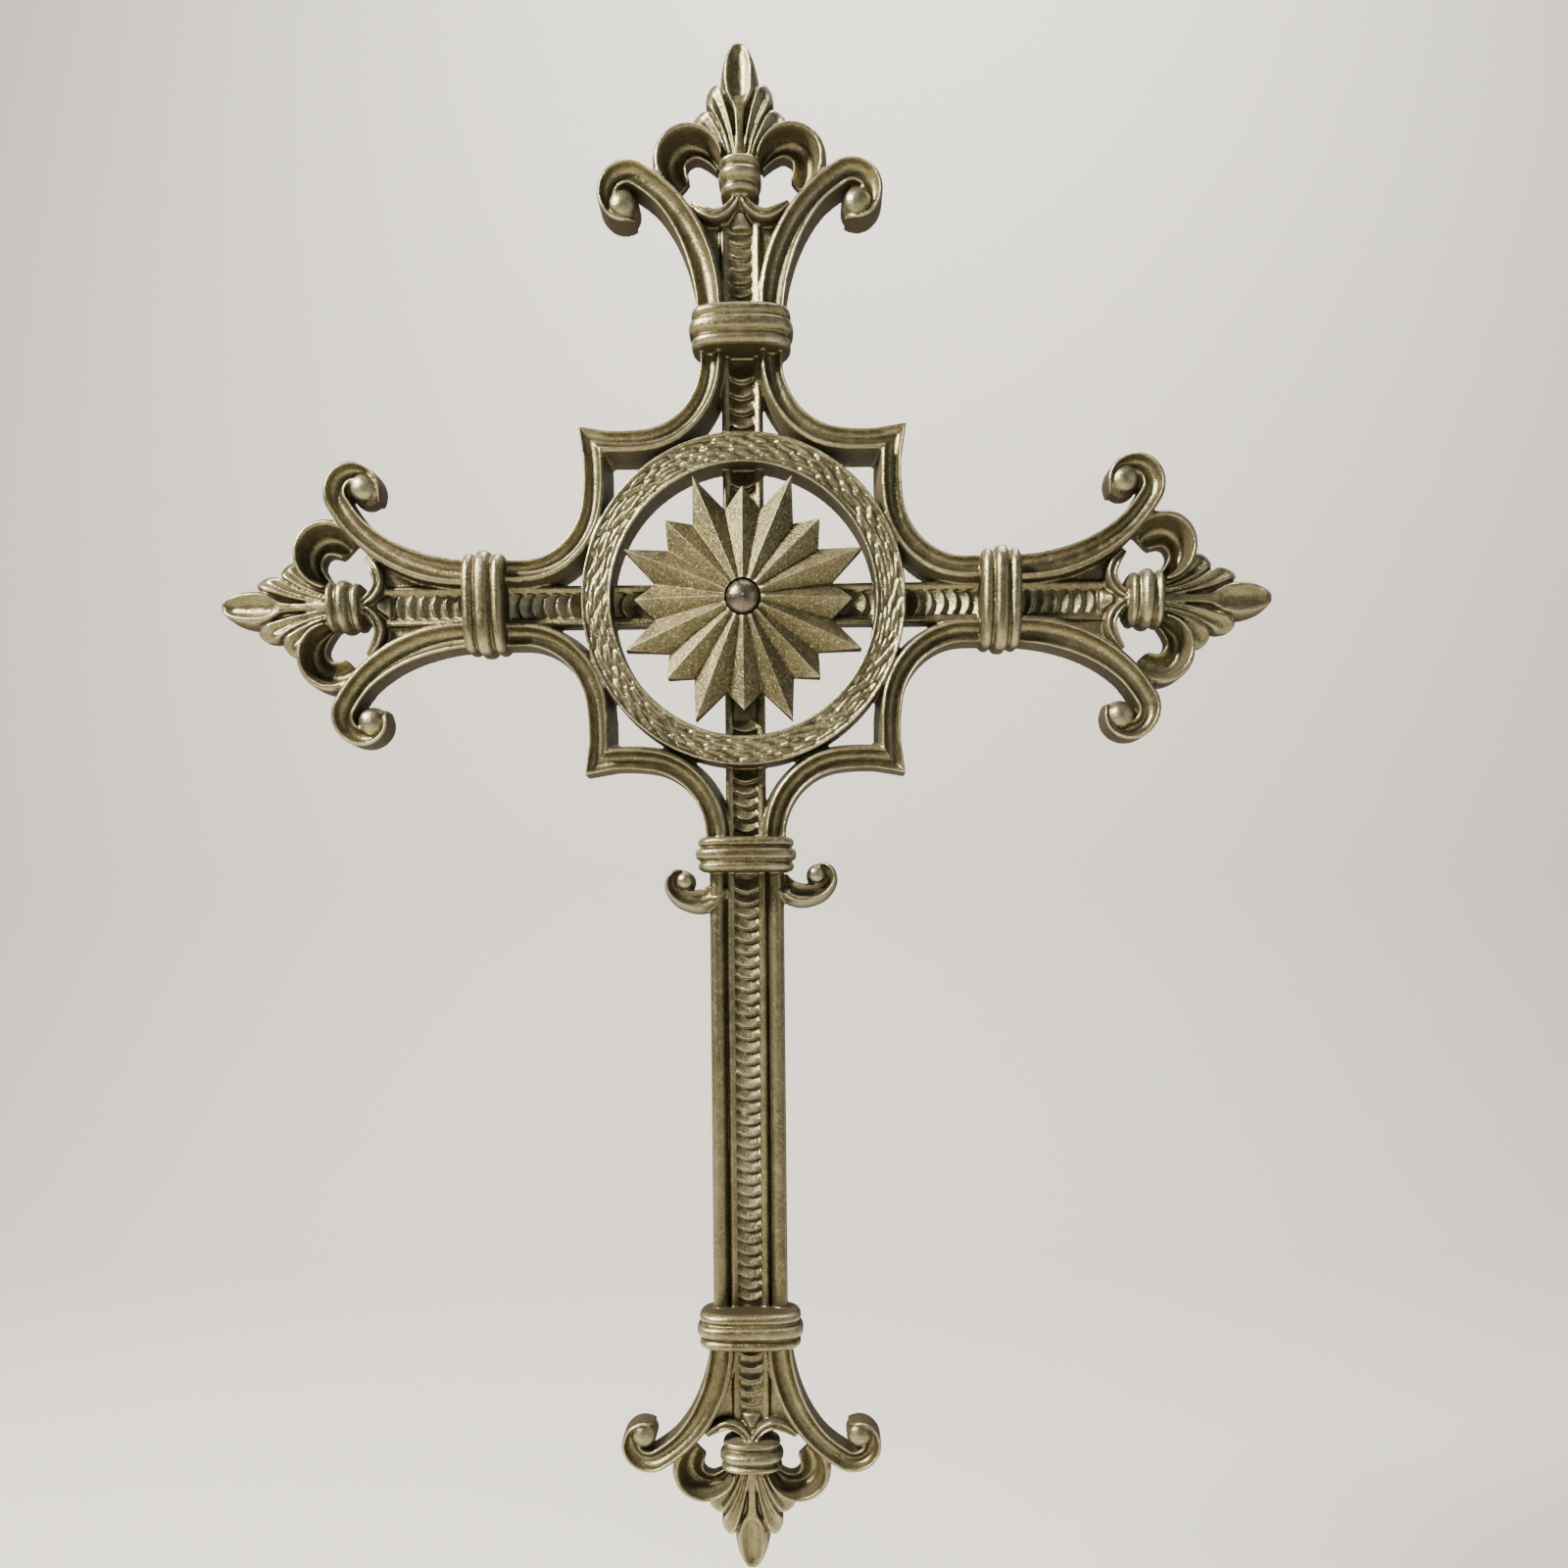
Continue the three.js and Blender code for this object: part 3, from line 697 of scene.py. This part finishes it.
def knop(width):
    """Three-ringed knop; width scales it across the arm."""
    # Place from the knop's middle along the arm, half width and front.
    rings = [
        [-8, 8.6, 10.5],
        [-7, 10.4, 12.6],
        [-6.4, 12, 15],
        [-5, 12.6, 15.6],
        [-3.9, 11.8, 14.8],
        [-3.4, 10.8, 13.6],
        [-2.8, 12.2, 15.4],
        [-1.2, 13.8, 17.1],
        [0.8, 13.8, 17.1],
        [2.1, 12.6, 15.6],
        [2.7, 11, 13.8],
        [3.3, 12.4, 15.2],
        [4.8, 13.4, 16.4],
        [6, 12.6, 15],
        [6.9, 10.4, 12.4],
    ]
    profile = np.array(rings) * [1, width, 1] + [KNOP_CENTRE, 0, 0]
    squareness = 0.75
    return banded_body(rounded(profile, 2), squareness)


def end_neck():
    """Short neck under the knop, and the small lip that ends the row of scales."""
    squareness = 0.8
    neck_profile = [[43, 5, 8.6], [50, 5.2, 9.6], [54.5, 6, 11]]
    lip_profile = [[41, 5, 7], [42, 5.2, 9.2], [43.4, 5.2, 9.4], [46.5, 2.4, 11]]
    return [
        banded_body(neck_profile, squareness),
        banded_body(rounded(lip_profile, 1), squareness),
    ]


def web_plate():
    """Flat plate behind the bar that fills the space between the two flares."""
    plan = np.array([[-9, 4], [9, 4], [16.4, 44.5], [-16.4, 44.5]])
    thickness = 6.5
    return loft([place(plan[:, 0], plan[:, 1], up) for up in (0, thickness)])


def end_ornament(curl, knop_width):
    """Every body of one end; the left-hand ones are the right-hand ones mirrored."""
    right = [end_scroll(curl), *volute_eye(curl), ear_leaf(), side_leaf()]
    centre = [palmette_fan(), palmette_tip(), knop(knop_width), *end_neck(), web_plate()]
    return [*right, *map(mirror_body, right), *centre]


def small_scroll():
    """Small scroll under the collar at the head of the shaft, for the right-hand side."""
    stations = np.array(
        [
            # across, along, half width
            [12.8, -108.8, 4.4],
            [16.4, -112.8, 5],
            [22.5, -115, 5],
            [29.6, -113.8, 4.1],
            [33.8, -110, 3],
            [34.2, -106, 2.4],
            [32.2, -103.4, 1.9],
            [29.6, -102.8, 1.2],
        ]
    )
    steps = 70
    fine = spline(stations, steps)
    lift = np.interp(np.arange(steps), [0, 12, 58, 69], [0.68, 1, 1, 0.8])
    curl = strip(*edges_of(fine[:, :2], fine[:, 2]), rounded(SMALL_GUTTER, 1), lift)
    floor_centre, eye_centre = (29, -107), (28.2, -106.5)
    eye_radius, eye_top = 3.3, 12.4
    floor = turned(floor_centre, [[0, 0], [4.8, 0], [4.8, 6.4], [4, 8], [0, 9]])
    return [curl, floor, ball(eye_centre, eye_radius, eye_top)]


# How far a bar runs past its collar, and the pitches of the scales: the usual one, then those of
# the rows near the ring, which are spaced a little wider.
BAR_REACH = 48
PITCH = 5
UPPER_PITCH = 5.8
LOWER_PITCH = 5.2
INSIDE_PITCH = 5.6
LEVEL_INSIDE_PITCH = 5.2
UP, DOWN = 1, -1
# Where the rows start and stop, from the ring's edge or from the middle of a collar.
RING_TUCK = 1
COLLAR_STOP = 6
SHAFT_STOP = 8
OUTER_START, OUTER_STOP = 9, 43
FOOT_START, FOOT_STOP = 11, 42
INSIDE_STOP, INSIDE_LOW_STOP = 12, 8
# The left small scroll's shift from the mirrored right one, and the seed of the wreath's leaves.
LEFT_SCROLL_ACROSS = 3.4
LEFT_SCROLL_ALONG = -2.3
WREATH_SEED = 7


def upright_scales():
    """The rows of scales on the upright bar, whose free edges all point down."""
    ring_edge = RING_OUTER - RING_TUCK
    collar_edge = ARM_COLLAR - COLLAR_STOP
    return [
        scale_row(ring_edge, collar_edge, UPPER_PITCH, DOWN),
        scale_row(ARM_COLLAR + OUTER_START, ARM_COLLAR + OUTER_STOP, PITCH, DOWN),
        scale_row(-ring_edge, -collar_edge, LOWER_PITCH, DOWN),
        scale_row(-ARM_COLLAR - SHAFT_STOP, -LOW_COLLAR + SHAFT_STOP, PITCH, DOWN),
        scale_row(-LOW_COLLAR - FOOT_START, -LOW_COLLAR - FOOT_STOP, PITCH, DOWN),
        scale_row(RING_INNER + RING_TUCK, RING_INNER - INSIDE_STOP, INSIDE_PITCH, DOWN),
        scale_row(-RING_INNER - RING_TUCK, -RING_INNER + INSIDE_LOW_STOP, INSIDE_PITCH, DOWN),
    ]


def level_scales():
    """The rows of scales on one side arm, whose free edges point to its tip."""
    return [
        scale_row(RING_INNER - INSIDE_STOP, RING_INNER + RING_TUCK, LEVEL_INSIDE_PITCH, UP),
        scale_row(RING_OUTER - RING_TUCK, ARM_COLLAR - COLLAR_STOP, PITCH, UP),
        scale_row(ARM_COLLAR + OUTER_START, ARM_COLLAR + OUTER_STOP, PITCH, UP),
    ]


def casting_bodies():
    """Every body of the casting. A quarter turn takes the top arm to the right arm."""
    neck_end = ARM_COLLAR + BAR_REACH
    upright = bar_body(-(LOW_COLLAR + BAR_REACH), neck_end)
    level = turn_body(bar_body(-neck_end, neck_end), 1)
    bodies = [upright, level, shaft_body(), *upright_scales()]
    level_rows = level_scales()
    for quarter in (1, 3):
        bodies += [turn_body(row, quarter) for row in level_rows]

    corner = corner_strip()
    for quarter in range(4):
        reach = LOW_COLLAR if quarter == 2 else ARM_COLLAR
        for body in end_ornament(CURLS[quarter], KNOP_WIDTHS[quarter]):
            bodies.append(turn_body(move_body(body, along=reach), quarter))
        bodies.append(turn_body(collar(*COLLARS[quarter]), quarter))
        bodies.append(move_body(turn_body(corner, quarter), stretch=CORNER_NARROWING))
    bodies.append(turn_body(collar(*HEAD_COLLAR), 2))
    bodies.append(wreath_ring(random.Random(WREATH_SEED)))
    # The left one was cast a little lower and nearer the shaft than the right one.
    for body in small_scroll():
        bodies.append(body)
        bodies.append(move_body(mirror_body(body), LEFT_SCROLL_ACROSS, LEFT_SCROLL_ALONG))
    return bodies


# From bodies to objects.


def object_of(name, bodies):
    """One mesh object, in metres, that holds every body as its own closed shell."""
    points, faces, start = [], [], 0
    for body_points, body_faces in bodies:
        points.append(np.asarray(body_points) * MM)
        faces += [[start + index for index in face] for face in body_faces]
        start += len(body_points)
    mesh = bpy.data.meshes.new(name)
    mesh.from_pydata(np.vstack(points).tolist(), [], faces)
    built = bmesh.new()
    built.from_mesh(mesh)
    bmesh.ops.triangulate(built, faces=[face for face in built.faces if len(face.verts) > 4])
    bmesh.ops.recalc_face_normals(built, faces=built.faces)
    built.to_mesh(mesh)
    built.free()
    made = bpy.data.objects.new(name, mesh)
    bpy.context.scene.collection.objects.link(made)
    return made


def apply_modifiers(target):
    """Keeps the modified mesh as the object's own and clears its modifiers."""
    graph = bpy.context.evaluated_depsgraph_get()
    mesh = bpy.data.meshes.new_from_object(target.evaluated_get(graph))
    target.modifiers.clear()
    old = target.data
    target.data = mesh
    bpy.data.meshes.remove(old)


def cast_together(target, triangles):
    """Fuses the shells into one skin, softens it as a casting is, and thins it out. No point is
    left outside the box of the solids."""
    remesh = target.modifiers.new("fuse", "REMESH")
    remesh.mode = "VOXEL"
    remesh.voxel_size = VOXEL * MM
    smooth = target.modifiers.new("soften", "SMOOTH")
    smooth.factor = SMOOTHING
    smooth.iterations = SMOOTHING_PASSES
    apply_modifiers(target)
    count = sum(len(polygon.vertices) - 2 for polygon in target.data.polygons)
    thin = target.modifiers.new("thin", "DECIMATE")
    thin.ratio = min(1.0, triangles / count)
    apply_modifiers(target)
    low, high = cad_box
    points = np.empty(len(target.data.vertices) * 3)
    target.data.vertices.foreach_get("co", points)
    points = np.clip(points.reshape(-1, 3), np.array(low), np.array(high))
    target.data.vertices.foreach_set("co", points.ravel())
    target.data.update()
    # The flat back stays flat in its shading, and everything else is rounded.
    target.data.polygons.foreach_set(
        "use_smooth", [polygon.normal.y < BACK_FACING for polygon in target.data.polygons]
    )
    even = target.modifiers.new("even", "WEIGHTED_NORMAL")
    even.mode = "FACE_AREA"
    even.keep_sharp = True
    apply_modifiers(target)


# Materials.


def ramp(nodes, stops):
    """Colour ramp between two (place, colour) stops."""
    made = nodes.new("ShaderNodeValToRGB")
    for element, (at, colour) in zip(made.color_ramp.elements, stops):
        element.position = at
        element.color = (*colour, 1)
    return made


def mixed(nodes, links, factor, first, second):
    """Mix of two colours. Each of them is another node's output or a plain colour."""
    made = nodes.new("ShaderNodeMix")
    made.data_type = "RGBA"
    sockets = (made.inputs[0], made.inputs[6], made.inputs[7])
    for socket, value in zip(sockets, (factor, first, second)):
        if isinstance(value, bpy.types.NodeSocket):
            links.new(value, socket)
        else:
            socket.default_value = (*value, 1)
    return made.outputs[2]


def noise_node(nodes, links, where, scale, detail):
    made = nodes.new("ShaderNodeTexNoise")
    made.inputs["Scale"].default_value = scale
    made.inputs["Detail"].default_value = detail
    made.inputs["Roughness"].default_value = NOISE_ROUGHNESS
    links.new(where, made.inputs["Vector"])
    return made.outputs["Fac"]


def scaled(nodes, links, value, old_range, new_range):
    """Carries a value from one range to another, and stops at the ends of the new one."""
    made = nodes.new("ShaderNodeMapRange")
    links.new(value, made.inputs["Value"])
    keys = ("From Min", "From Max", "To Min", "To Max")
    for key, number in zip(keys, (*old_range, *new_range)):
        made.inputs[key].default_value = number
    return made.outputs["Result"]


def combined(nodes, links, operation, first, second):
    made = nodes.new("ShaderNodeMath")
    made.operation = operation
    links.new(first, made.inputs[0])
    links.new(second, made.inputs[1])
    return made.outputs[0]


# What all the metals share. A scale is the number of spots in a metre. A pair is a range: of
# noise, of the occlusion (0 is shut in), of the normal's y (-1 faces the front), of the pointiness
# (above 0.5 is an edge) or of the crust and painted shade, which runs from 0 to 1.
BROAD_SCALE, MOTTLE_SCALE, FINE_SCALE = 38, 240, 1100
BROAD_DETAIL, MOTTLE_DETAIL, FINE_DETAIL = 5, 6, 4
NOISE_ROUGHNESS = 0.6
TONE_RANGE = (0.36, 0.64)
SPOT_RANGE, SPOT_STRENGTH = (0.52, 0.72), 0.55
SPECK_RANGE, SPECK_STRENGTH = (0.54, 0.7), 0.5
PIT_RANGE, PIT_STRENGTH = (0.3, 0.45), 0.6
# The occlusion's reach and samples decide where the dark crust and the painted shade go.
CRUST_SHADE_REACH = 2.6 * MM
CRUST_SHADE_SAMPLES = 8
SHUT_RANGE, SHUT_STRENGTH = (0.12, 0.56), 0.92
WALL_RANGE, WALL_STRENGTH = (-0.5, -0.1), 0.95
EDGE_RANGE, EDGE_STRENGTH = (0.515, 0.6), 0.75
CRUST_RANGE = (0.2, 0.95)
CRUST_METALLIC = 0.1
CRUST_DULLNESS = 0.42
GLOSS_RANGE, SMOOTHER, ROUGHER = (0.3, 0.7), 0.06, 0.1
SPECULAR_LEVEL = 0.1
BUMP_DEPTH = 0.4 * MM


def toned_metal(name, tone, dark, worn, gloss, metallic, grain):
    """Bronze-toned cast iron: darkened in its recesses and on its walls by a crust and by painted
    shade, rubbed bright on its edges, with fine grain. Tone holds its deeper, its usual and its paler
    colour."""
    made = bpy.data.materials.new(name)
    made.use_nodes = True
    nodes, links = made.node_tree.nodes, made.node_tree.links
    shader = nodes["Principled BSDF"]
    where = nodes.new("ShaderNodeTexCoord").outputs["Object"]
    broad = noise_node(nodes, links, where, BROAD_SCALE, BROAD_DETAIL)
    mottle = noise_node(nodes, links, where, MOTTLE_SCALE, MOTTLE_DETAIL)
    fine = noise_node(nodes, links, where, FINE_SCALE, FINE_DETAIL)

    deep, usual, pale = tone
    colour = ramp(nodes, list(zip(TONE_RANGE, (deep, usual))))
    links.new(broad, colour.inputs[0])
    spots = scaled(nodes, links, mottle, SPOT_RANGE, (0, SPOT_STRENGTH))
    base = mixed(nodes, links, spots, colour.outputs[0], pale)
    specks = scaled(nodes, links, fine, SPECK_RANGE, (0, SPECK_STRENGTH * grain))
    base = mixed(nodes, links, specks, base, worn)
    pits = scaled(nodes, links, fine, PIT_RANGE, (PIT_STRENGTH * grain, 0))
    base = mixed(nodes, links, pits, base, dark)

    # The recesses and the walls that run back from the front were never rubbed, and a dull, dark
    # crust has stayed in them. Their darkening is also painted shade: the occlusion and the turn of
    # a wall away from the front stand in for the shade that falls there.
    hollow = nodes.new("ShaderNodeAmbientOcclusion")
    hollow.inputs["Distance"].default_value = CRUST_SHADE_REACH
    hollow.samples = CRUST_SHADE_SAMPLES
    shut_in = scaled(nodes, links, hollow.outputs["AO"], SHUT_RANGE, (SHUT_STRENGTH, 0))
    geometry = nodes.new("ShaderNodeNewGeometry")
    split = nodes.new("ShaderNodeSeparateXYZ")
    links.new(geometry.outputs["Normal"], split.inputs[0])
    wall = scaled(nodes, links, split.outputs["Y"], WALL_RANGE, (0, WALL_STRENGTH))
    crust_and_shade = combined(nodes, links, "MAXIMUM", shut_in, wall)
    # Dark crust and painted shade: the shut-in recesses and the side walls are mixed towards the dark
    # colour.
    base = mixed(nodes, links, crust_and_shade, base, dark)

    # Hands and brushes rub the edges that face the front, and not the walls or the back.
    edge = scaled(nodes, links, geometry.outputs["Pointiness"], EDGE_RANGE, (0, EDGE_STRENGTH))
    front = scaled(nodes, links, split.outputs["Y"], WALL_RANGE, (1, 0))
    rubbed = combined(nodes, links, "MULTIPLY", edge, front)
    base = mixed(nodes, links, rubbed, base, worn)
    links.new(base, shader.inputs["Base Color"])
    shader.inputs["Specular IOR Level"].default_value = SPECULAR_LEVEL

    bare = scaled(nodes, links, crust_and_shade, CRUST_RANGE, (metallic, CRUST_METALLIC))
    links.new(bare, shader.inputs["Metallic"])
    grainy = scaled(nodes, links, mottle, GLOSS_RANGE, (gloss - SMOOTHER, gloss + ROUGHER))
    dull = scaled(nodes, links, crust_and_shade, CRUST_RANGE, (0, CRUST_DULLNESS))
    links.new(combined(nodes, links, "ADD", grainy, dull), shader.inputs["Roughness"])

    bump = nodes.new("ShaderNodeBump")
    bump.inputs["Strength"].default_value = grain
    bump.inputs["Distance"].default_value = BUMP_DEPTH
    links.new(combined(nodes, links, "ADD", fine, mottle), bump.inputs["Height"])
    links.new(bump.outputs[0], shader.inputs["Normal"])
    return made


def plain_material(name, colour, roughness):
    made = bpy.data.materials.new(name)
    made.use_nodes = True
    shader = made.node_tree.nodes["Principled BSDF"]
    shader.inputs["Base Color"].default_value = (*colour, 1)
    shader.inputs["Roughness"].default_value = roughness
    return made


# The pieces.


def make_casting():
    made = object_of("openwork_cross", casting_bodies())
    cast_together(made, CASTING_TRIANGLES)
    made.data.materials.append(
        toned_metal(
            "toned_iron",
            tone=[(0.15, 0.127, 0.06), (0.24, 0.208, 0.11), (0.36, 0.32, 0.2)],
            dark=(0.032, 0.024, 0.012),
            worn=(0.78, 0.74, 0.53),
            gloss=0.3,
            metallic=0.88,
            grain=0.5,
        )
    )
    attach(made, "root")
    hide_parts("cross_casting")
    return made


# The star's rings of points, as shares of the way from rim to hub, and the swell of its pleats
# there. Then the hub round the rivet: its width, its chamfer, how far a ridge and a valley drop
# there, and its opening, which starts a little under the rivet's seat. Last come the bevel's width
# and the least angle, in degrees, of an edge that has it.
STAR_RINGS = np.linspace(0.08, 1, 14)
PLEAT_SWELL = 0.5
HUB_WIDTH = 2.4
HUB_CHAMFER = 0.6
HUB_RIDGE_DROP, HUB_VALLEY_DROP = 0.4, 1.2
HUB_GAP = 0.4
HUB_FOOT = RIVET_SEAT - 0.3
STAR_BEVEL = 0.35
STAR_BEVEL_ANGLE = 24


def star_bodies():
    """Pleated star: every loop has one point on each ridge and one in each valley."""
    points = RAYS * 2
    index = np.arange(points)
    angle = index * 2 * math.pi / points
    is_ridge = index % 2 == 0
    outline = np.where(is_ridge, np.where(index % 4 == 0, RAY_SHORT, RAY_LONG), RAY_NOTCH)
    hub = RIVET_HEAD + HUB_WIDTH

    def loop(radius, high, low):
        height = np.where(is_ridge, high, low)
        return place(radius * np.cos(angle), radius * np.sin(angle), height)

    loops = [
        loop(outline, ROSETTE_BACK, ROSETTE_BACK),
        loop(outline, ROSETTE_EDGE, ROSETTE_EDGE - EDGE_PLEAT),
    ]
    for share in STAR_RINGS:
        dome = math.sin(share * math.pi) * PLEAT_SWELL
        radius = mix(outline.astype(float), hub, share)
        high = mix(ROSETTE_EDGE, ROSETTE_HUB, share) + dome
        low = mix(ROSETTE_EDGE - EDGE_PLEAT, ROSETTE_HUB - HUB_PLEAT, share) + dome
        loops.append(loop(radius, high, low))
    ridge, valley = ROSETTE_HUB - HUB_RIDGE_DROP, ROSETTE_HUB - HUB_VALLEY_DROP
    loops.append(loop(RIVET_HEAD + HUB_CHAMFER, ridge, valley))
    loops.append(loop(RIVET_HEAD + HUB_GAP, HUB_FOOT, HUB_FOOT))
    return [loft(loops)]


def make_star():
    made = object_of("pleated_star", star_bodies())
    bevel = made.modifiers.new("soft_edges", "BEVEL")
    bevel.width = STAR_BEVEL * MM
    bevel.segments = 2
    bevel.limit_method = "ANGLE"
    bevel.angle_limit = math.radians(STAR_BEVEL_ANGLE)
    apply_modifiers(made)
    made.data.polygons.foreach_set("use_smooth", [False] * len(made.data.polygons))
    made.data.materials.append(
        toned_metal(
            "star_metal",
            tone=[(0.13, 0.11, 0.052), (0.2, 0.172, 0.085), (0.31, 0.275, 0.16)],
            dark=(0.03, 0.023, 0.012),
            worn=(0.75, 0.71, 0.5),
            gloss=0.38,
            metallic=0.88,
            grain=1.0,
        )
    )
    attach(made, "root")
    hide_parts("sunburst_rosette")
    return made


def make_rivet():
    """Dome on a short rim that stands in the star's opening. The rim's foot has a chamfer."""
    rim = RIVET_SEAT + RIVET_RIM
    foot_in, foot_up = 0.2, 0.4
    dome_points, segments = 20, 64
    profile = [
        [0, RIVET_SEAT],
        [RIVET_HEAD - foot_in, RIVET_SEAT],
        [RIVET_HEAD, RIVET_SEAT + foot_up],
    ]
    for turn in np.radians(np.linspace(0, 90, dome_points)):
        profile.append([RIVET_HEAD * math.cos(turn), rim + (RIVET_TOP - rim) * math.sin(turn)])
    made = object_of("rivet_dome", [turned((0, 0), profile, segments)])
    made.data.polygons.foreach_set("use_smooth", [True] * len(made.data.polygons))
    made.data.materials.append(
        toned_metal(
            "rivet_metal",
            tone=[(0.12, 0.1, 0.07), (0.2, 0.17, 0.12), (0.28, 0.25, 0.18)],
            dark=(0.03, 0.024, 0.016),
            worn=(0.5, 0.46, 0.36),
            gloss=0.24,
            metallic=0.9,
            grain=0.4,
        )
    )
    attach(made, "root")
    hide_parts("rosette_rivet")
    return made


# Camera, light and backdrop. The image size, the focal length and the row on which the lens is
# centred are in pixels, the camera's place in millimetres and its angles in degrees.

IMAGE_SIZE = 1600
FOCAL_PIXELS = 1300
CENTRE_ROW = 1073.3
SENSOR_WIDTH = 36
CAMERA_PLACE = (21.62, -526.24, -130.76)
CAMERA_PITCH = 5.244
CAMERA_YAW = -0.768
CAMERA_ROLL = -0.3945


def make_camera():
    """The camera that fits the photograph: its place, its turn and a shift upwards."""
    data = bpy.data.cameras.new("camera")
    data.sensor_width = SENSOR_WIDTH
    data.lens = FOCAL_PIXELS / IMAGE_SIZE * data.sensor_width
    data.shift_y = (CENTRE_ROW - IMAGE_SIZE / 2) / IMAGE_SIZE
    pitch, yaw, roll = map(math.radians, (CAMERA_PITCH, CAMERA_YAW, CAMERA_ROLL))
    forward = Vector(
        (math.sin(yaw) * math.cos(pitch), math.cos(yaw) * math.cos(pitch), -math.sin(pitch))
    )
    right = forward.cross(Vector((0, 0, 1))).normalized()
    up = right.cross(forward)
    rolled_right = math.cos(roll) * right + math.sin(roll) * up
    rolled_up = -math.sin(roll) * right + math.cos(roll) * up
    turn = Matrix((rolled_right, rolled_up, -forward)).transposed().to_4x4()
    made = bpy.data.objects.new("camera", data)
    made.matrix_world = Matrix.Translation(Vector(CAMERA_PLACE) * MM) @ turn
    bpy.context.scene.collection.objects.link(made)
    bpy.context.scene.camera = made


PAPER_COLOUR = (0.74, 0.71, 0.65)
PAPER_ROUGHNESS = 0.9
ROOM_COLOUR = (0.8, 0.86, 1.0)
ROOM_STRENGTH = 0.2
MIDDLE = (0, 0, -0.1)
# For each lamp: its place, the point it faces, its size, its power in watts and its colour.
LAMPS = {
    "key_light": [(-1.05, -0.7, 0.9), MIDDLE, 0.36, 92, (1.0, 0.95, 0.86)],
    "fill_light": [(1.2, -0.9, 0.2), MIDDLE, 0.9, 3, (0.85, 0.9, 1.0)],
    "wall_light": [(0.2, 0.5, 2.2), (0, 1.7, 0), 1.6, 92, (1.0, 0.97, 0.91)],
}


def area_light(name, place_at, target, size, power, colour):
    data = bpy.data.lights.new(name, "AREA")
    data.shape = "DISK"
    data.size = size
    data.energy = power
    data.color = colour
    made = bpy.data.objects.new(name, data)
    made.location = place_at
    made.rotation_euler = (Vector(target) - Vector(place_at)).to_track_quat("-Z", "Y").to_euler()
    bpy.context.scene.collection.objects.link(made)


def make_backdrop():
    """Pale floor well below the cross that sweeps up into a pale wall behind it, in metres."""
    floor_height, floor_start, wall_place, wall_top = -0.62, -3.5, 1.9, 3.5
    sweep, half = 0.6, 4.0
    bend_start, bend_top = wall_place - sweep, floor_height + sweep
    line = [(floor_start, floor_height), (bend_start, floor_height)]
    for turn in np.radians(np.linspace(0, 90, 16)[1:]):
        line.append((bend_start + sweep * math.sin(turn), bend_top - sweep * math.cos(turn)))
    line.append((wall_place, wall_top))
    points = [(side, along, up) for along, up in line for side in (-half, half)]
    faces = [(2 * i, 2 * i + 1, 2 * i + 3, 2 * i + 2) for i in range(len(line) - 1)]
    mesh = bpy.data.meshes.new("backdrop")
    mesh.from_pydata(points, [], faces)
    mesh.polygons.foreach_set("use_smooth", [True] * len(mesh.polygons))
    made = bpy.data.objects.new("backdrop", mesh)
    made.data.materials.append(plain_material("pale_paper", PAPER_COLOUR, PAPER_ROUGHNESS))
    bpy.context.scene.collection.objects.link(made)


def make_light():
    """Faint room light, a warm lamp at the upper left, a weak cool one at the right, and one
    above and behind the cross that faces the wall."""
    world = bpy.data.worlds.new("soft_room")
    world.use_nodes = True
    background = world.node_tree.nodes["Background"]
    background.inputs["Color"].default_value = (*ROOM_COLOUR, 1)
    background.inputs["Strength"].default_value = ROOM_STRENGTH
    bpy.context.scene.world = world
    for name, lamp in LAMPS.items():
        area_light(name, *lamp)


make_casting()
make_star()
make_rivet()
make_camera()
make_backdrop()
make_light()
